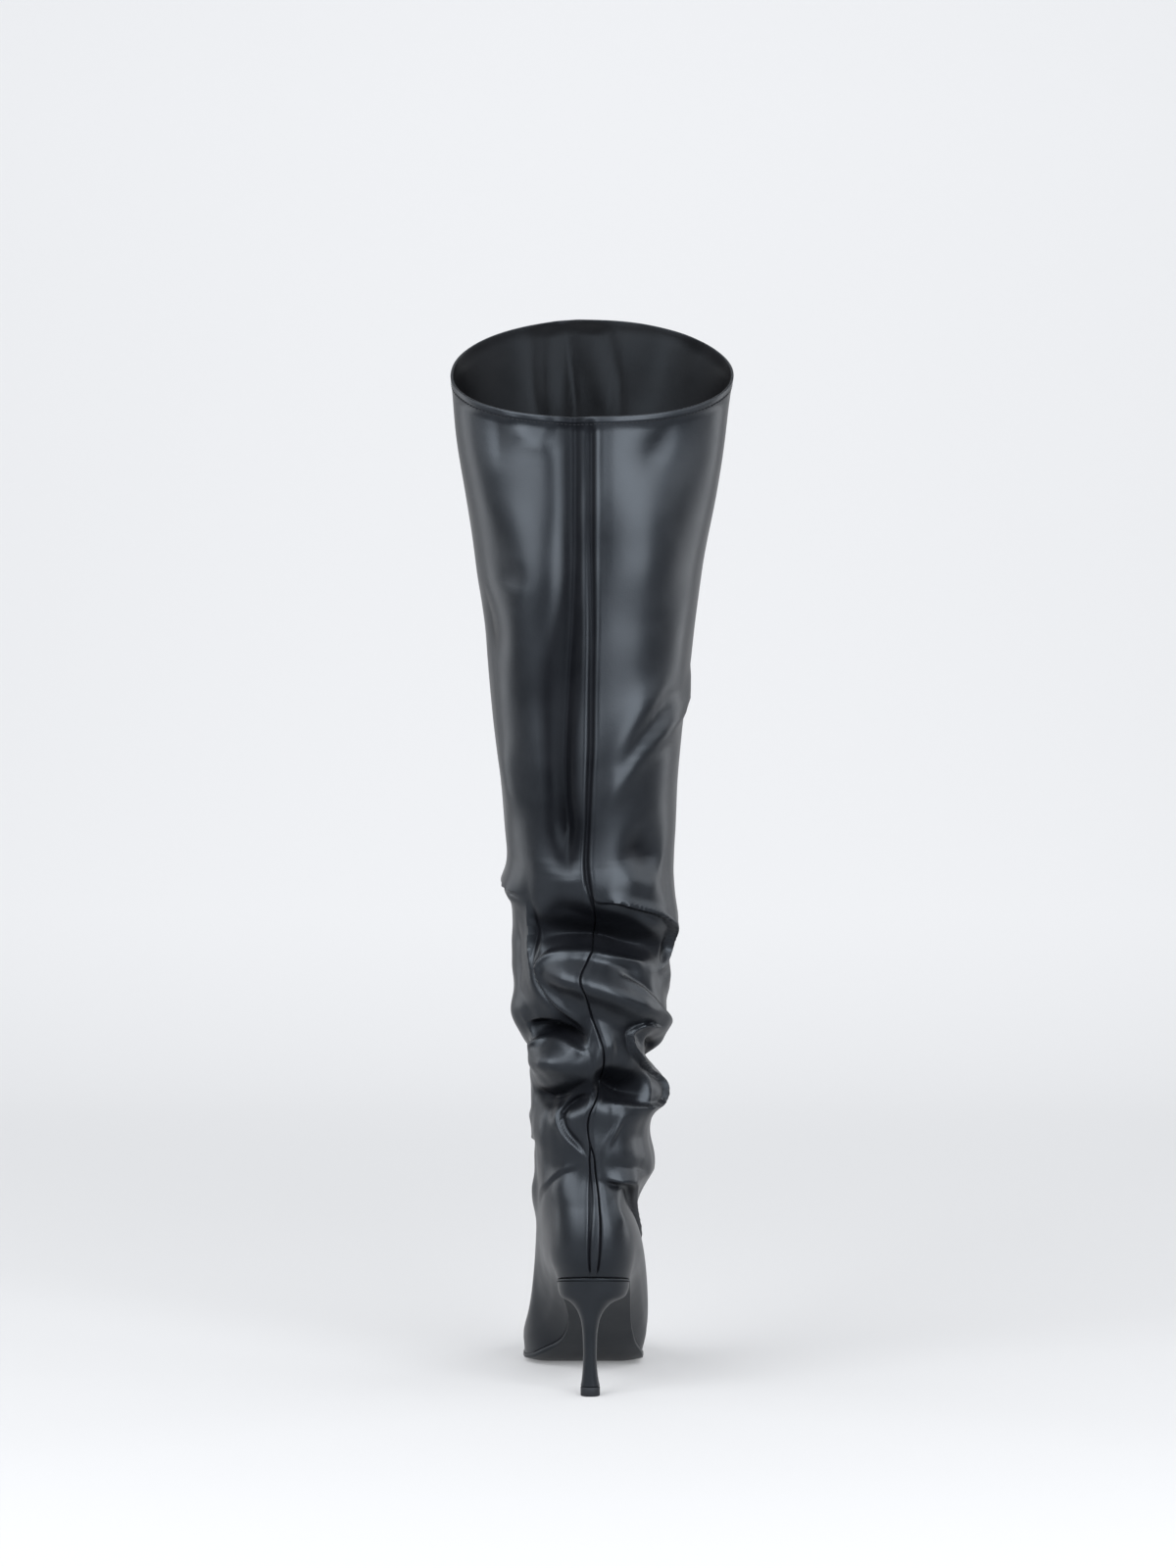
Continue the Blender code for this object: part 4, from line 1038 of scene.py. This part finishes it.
def thin_outsole(surface):
    """The outsole with its true outline, rounded along its edge."""
    angle = np.linspace(0.0, math.pi, SOLE_STATIONS + 1)[1:-1]
    along = ring_share(angle)
    share = np.sin(np.linspace(-math.pi / 2, math.pi / 2, SOLE_ACROSS + 1))
    half = sole_half_width(along)
    y = -HEEL_PITCH + FOOT_LENGTH * along
    x = sole_middle(along)[:, None] + half[:, None] * share[None, :]
    yy = np.repeat(y[:, None], len(share), axis=1)
    top = sole_top(x, yy)
    thick = sole_thickness(along)[:, None]
    edge_gap = half[:, None] * (1.0 - np.abs(share[None, :]))
    outward = 1.0 - np.clip(edge_gap / EDGE_ROUND, 0, 1)
    rounding = 1.0 - np.sqrt(np.clip(1.0 - outward ** 2, 0, 1))
    bevel = np.minimum(EDGE_ROUND, thick * EDGE_ROUND_SHARE) * rounding
    high = np.stack([x, yy, top - bevel], axis=-1)
    low = np.stack([x, yy, top - thick + bevel], axis=-1)
    rows, columns = x.shape
    ends = []
    for place, spot in ((0.0, -HEEL_PITCH), (1.0, FOOT_LENGTH - HEEL_PITCH)):
        middle = float(sole_middle(place))
        height = float(sole_top(middle, spot))
        ends.append((middle, spot, height - float(sole_thickness(place)) + END_ROUND))
        ends.append((middle, spot, height - END_ROUND))
    points = np.concatenate([low.reshape(-1, 3), high.reshape(-1, 3), np.array(ends)])
    total = rows * columns
    faces = []
    for row in range(rows - 1):
        for column in range(columns - 1):
            a = row * columns + column
            faces.append((a, a + columns, a + columns + 1, a + 1))
            faces.append((total + a, total + a + 1, total + a + columns + 1, total + a + columns))
        left, right = row * columns, row * columns + columns - 1
        faces.append((left, total + left, total + left + columns, left + columns))
        faces.append((right, right + columns, total + right + columns, total + right))
    last = total - columns
    back_low, back_high, front_low, front_high = (2 * total + index for index in range(4))
    for column in range(columns - 1):
        faces.append((back_low, column, column + 1))
        faces.append((back_high, total + column + 1, total + column))
        faces.append((front_low, last + column + 1, last + column))
        faces.append((front_high, total + last + column, total + last + column + 1))
    faces.append((back_low, back_high, total, 0))
    faces.append((back_low, columns - 1, total + columns - 1, back_high))
    faces.append((front_low, last, total + last, front_high))
    faces.append((front_low, front_high, total + last + columns - 1, last + columns - 1))
    made = add_mesh("outsole_leather", points, faces, [surface], sharp=45.0)
    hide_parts("outsole")
    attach(made, "root")


def grain_group():
    """Shared leather grain: fine pebbles and pores over soft unevenness, as a normal and two masks."""
    group = bpy.data.node_groups.new("leather grain", "ShaderNodeTree")
    socket = group.interface.new_socket
    for name, value in (("Pebble Scale", 900.0), ("Pebble Depth", 0.2), ("Waviness", 0.2)):
        socket(name=name, in_out="INPUT", socket_type="NodeSocketFloat").default_value = value
    socket(name="Normal", in_out="OUTPUT", socket_type="NodeSocketVector")
    socket(name="Pebbles", in_out="OUTPUT", socket_type="NodeSocketFloat")
    socket(name="Patches", in_out="OUTPUT", socket_type="NodeSocketFloat")
    nodes, links = group.nodes, group.links
    inputs = nodes.new("NodeGroupInput")
    outputs = nodes.new("NodeGroupOutput")
    place = nodes.new("ShaderNodeTexCoord")
    pebbles = nodes.new("ShaderNodeTexVoronoi")
    pebbles.feature = "SMOOTH_F1"
    pebbles.inputs["Smoothness"].default_value = 0.6
    pores, patches, waves = (nodes.new("ShaderNodeTexNoise") for _ in range(3))
    for noise, scale, detail in ((pores, 2200.0, 3.0), (patches, 34.0, 5.0), (waves, 130.0, 3.0)):
        noise.inputs["Scale"].default_value = scale
        noise.inputs["Detail"].default_value = detail
    for texture in (pebbles, pores, patches, waves):
        links.new(place.outputs["Object"], texture.inputs["Vector"])
    links.new(inputs.outputs["Pebble Scale"], pebbles.inputs["Scale"])
    mixed = nodes.new("ShaderNodeMath")
    mixed.operation = "MULTIPLY_ADD"
    mixed.inputs[1].default_value = 0.35
    links.new(pores.outputs["Fac"], mixed.inputs[0])
    links.new(pebbles.outputs["Distance"], mixed.inputs[2])
    wave_bump = nodes.new("ShaderNodeBump")
    wave_bump.inputs["Distance"].default_value = 0.0022
    links.new(inputs.outputs["Waviness"], wave_bump.inputs["Strength"])
    links.new(waves.outputs["Fac"], wave_bump.inputs["Height"])
    bump = nodes.new("ShaderNodeBump")
    bump.inputs["Distance"].default_value = 0.0003
    links.new(inputs.outputs["Pebble Depth"], bump.inputs["Strength"])
    links.new(mixed.outputs["Value"], bump.inputs["Height"])
    links.new(wave_bump.outputs["Normal"], bump.inputs["Normal"])
    links.new(bump.outputs["Normal"], outputs.inputs["Normal"])
    links.new(mixed.outputs["Value"], outputs.inputs["Pebbles"])
    links.new(patches.outputs["Fac"], outputs.inputs["Patches"])
    return group


def paint_shade_in_hollows(finish):
    """Gives the leather a thin coat, and paints shade into the folds and the seam groove by taking coat and
    sheen off the leather that lies deep in them.
    """
    nodes, links = finish.node_tree.nodes, finish.node_tree.links
    surface = nodes["Principled BSDF"]
    open_sheen = surface.inputs["Specular IOR Level"].default_value
    depth = nodes.new("ShaderNodeAttribute")
    depth.attribute_name = "painted_shade"
    for socket, shallow, deep in (("Specular IOR Level", open_sheen, PAINTED_SHADE_SHEEN),
                                  ("Coat Weight", OPEN_COAT, PAINTED_SHADE_COAT)):
        sheen = nodes.new("ShaderNodeMapRange")
        sheen.inputs["To Min"].default_value = shallow
        sheen.inputs["To Max"].default_value = deep
        links.new(depth.outputs["Fac"], sheen.inputs["Value"])
        links.new(sheen.outputs["Result"], surface.inputs[socket])


def leather_like(grain, name, dark, light, rough, sheen, pebble_scale, pebble_depth, waviness):
    """A finish whose colour and roughness drift a little over the shared grain."""
    made = bpy.data.materials.new(name)
    made.use_nodes = True
    nodes, links = made.node_tree.nodes, made.node_tree.links
    surface = nodes["Principled BSDF"]
    effect = nodes.new("ShaderNodeGroup")
    effect.node_tree = grain
    effect.inputs["Pebble Scale"].default_value = pebble_scale
    effect.inputs["Pebble Depth"].default_value = pebble_depth
    effect.inputs["Waviness"].default_value = waviness
    colour = nodes.new("ShaderNodeValToRGB")
    for stop, place, tone in zip(colour.color_ramp.elements, TONE_SPAN, (dark, light)):
        stop.position = place
        stop.color = (*tone, 1.0)
    links.new(effect.outputs["Patches"], colour.inputs["Fac"])
    links.new(colour.outputs["Color"], surface.inputs["Base Color"])
    roughness = nodes.new("ShaderNodeMapRange")
    for end, patch, value in zip(("Min", "Max"), ROUGH_SPAN, rough):
        roughness.inputs["From " + end].default_value = patch
        roughness.inputs["To " + end].default_value = value
    links.new(effect.outputs["Patches"], roughness.inputs["Value"])
    links.new(roughness.outputs["Result"], surface.inputs["Roughness"])
    links.new(effect.outputs["Normal"], surface.inputs["Normal"])
    surface.inputs["Metallic"].default_value = 0.0
    surface.inputs["Specular IOR Level"].default_value = sheen
    surface.inputs["Specular Tint"].default_value = SHEEN_TINT
    surface.inputs["Coat Roughness"].default_value = COAT_ROUGHNESS
    return made


def plain_floor():
    """A pale floor that curves up into the wall far behind the boot."""
    profile = [(FLOOR_FRONT, 0.0), (BEND_START, 0.0)]
    for step in range(1, BEND_STEPS + 1):
        swing = math.pi / 2 * step / BEND_STEPS
        profile.append((BEND_START + BEND_RADIUS * math.sin(swing), BEND_RADIUS * (1.0 - math.cos(swing))))
    profile.append((BEND_START + BEND_RADIUS, WALL_HEIGHT))
    points = [(side * FLOOR_HALF_WIDTH, y, z) for y, z in profile for side in (-1, 1)]
    faces = [(2 * row, 2 * row + 1, 2 * row + 3, 2 * row + 2) for row in range(len(profile) - 1)]
    paper = bpy.data.materials.new("pale studio paper")
    paper.use_nodes = True
    surface = paper.node_tree.nodes["Principled BSDF"]
    surface.inputs["Base Color"].default_value = PAPER_COLOUR
    surface.inputs["Roughness"].default_value = PAPER_ROUGHNESS
    surface.inputs["Emission Color"].default_value = GLOW_COLOUR
    nodes, links = paper.node_tree.nodes, paper.node_tree.links
    place = nodes.new("ShaderNodeTexCoord")
    apart = nodes.new("ShaderNodeSeparateXYZ")
    glow = nodes.new("ShaderNodeMapRange")
    glow.inputs["From Min"].default_value = GLOW_FROM
    glow.inputs["From Max"].default_value = GLOW_TO
    glow.inputs["To Min"].default_value = GLOW_LEAST
    glow.inputs["To Max"].default_value = GLOW_MOST
    links.new(place.outputs["Object"], apart.inputs["Vector"])
    links.new(apart.outputs["Y"], glow.inputs["Value"])
    links.new(glow.outputs["Result"], surface.inputs["Emission Strength"])
    floor = add_mesh("studio_floor", points, faces, [paper])


def soft_light(name, place, target, size, power):
    """A softbox turned towards a point."""
    light = bpy.data.lights.new(name, "AREA")
    light.shape = "RECTANGLE"
    light.size, light.size_y = size
    light.energy = power
    box = bpy.data.objects.new(name, light)
    box.location = place
    way = np.array(target) - np.array(place)
    flat = math.hypot(way[0], way[1])
    box.rotation_euler = (math.atan2(flat, -way[2]), 0.0, math.atan2(-way[0], way[1]))
    bpy.context.collection.objects.link(box)


def studio():
    """Dim white surroundings, the lights and the camera."""
    bpy.context.scene.view_settings.view_transform = "Standard"
    world = bpy.data.worlds.new("white studio")
    bpy.context.scene.world = world
    world.use_nodes = True
    background = world.node_tree.nodes["Background"]
    background.inputs["Color"].default_value = AIR_COLOUR
    background.inputs["Strength"].default_value = AIR_STRENGTH
    for light in LIGHTS:
        soft_light(*light)
    lens = bpy.data.cameras.new("camera behind the boot")
    lens.lens = CAMERA_LENS
    lens.sensor_width = PICTURE_LONG_SIDE
    lens.clip_start = 0.05
    lens.clip_end = 60.0
    camera = bpy.data.objects.new("camera", lens)
    camera.location = CAMERA_PLACE
    camera.rotation_euler = (math.pi / 2, 0.0, 0.0)
    bpy.context.collection.objects.link(camera)
    bpy.context.scene.camera = camera


grain = grain_group()
calf, lining_leather, heel_leather, sole_paint, top_rubber, insole_leather, thread = (
    leather_like(grain, *finish) for finish in FINISHES
)
# Painted shade in the calf leather's deep folds and seam groove
paint_shade_in_hollows(calf)

leather_skin, leather_normal = upper_leather(calf, lining_leather)
collar_stitches(leather_skin, leather_normal, thread)
covered_heel(heel_leather)
wearing_top_piece(top_rubber)
thin_outsole(sole_paint)
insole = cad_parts["insole"]
insole.data.materials.clear()
insole.data.materials.append(insole_leather)
plain_floor()
studio()
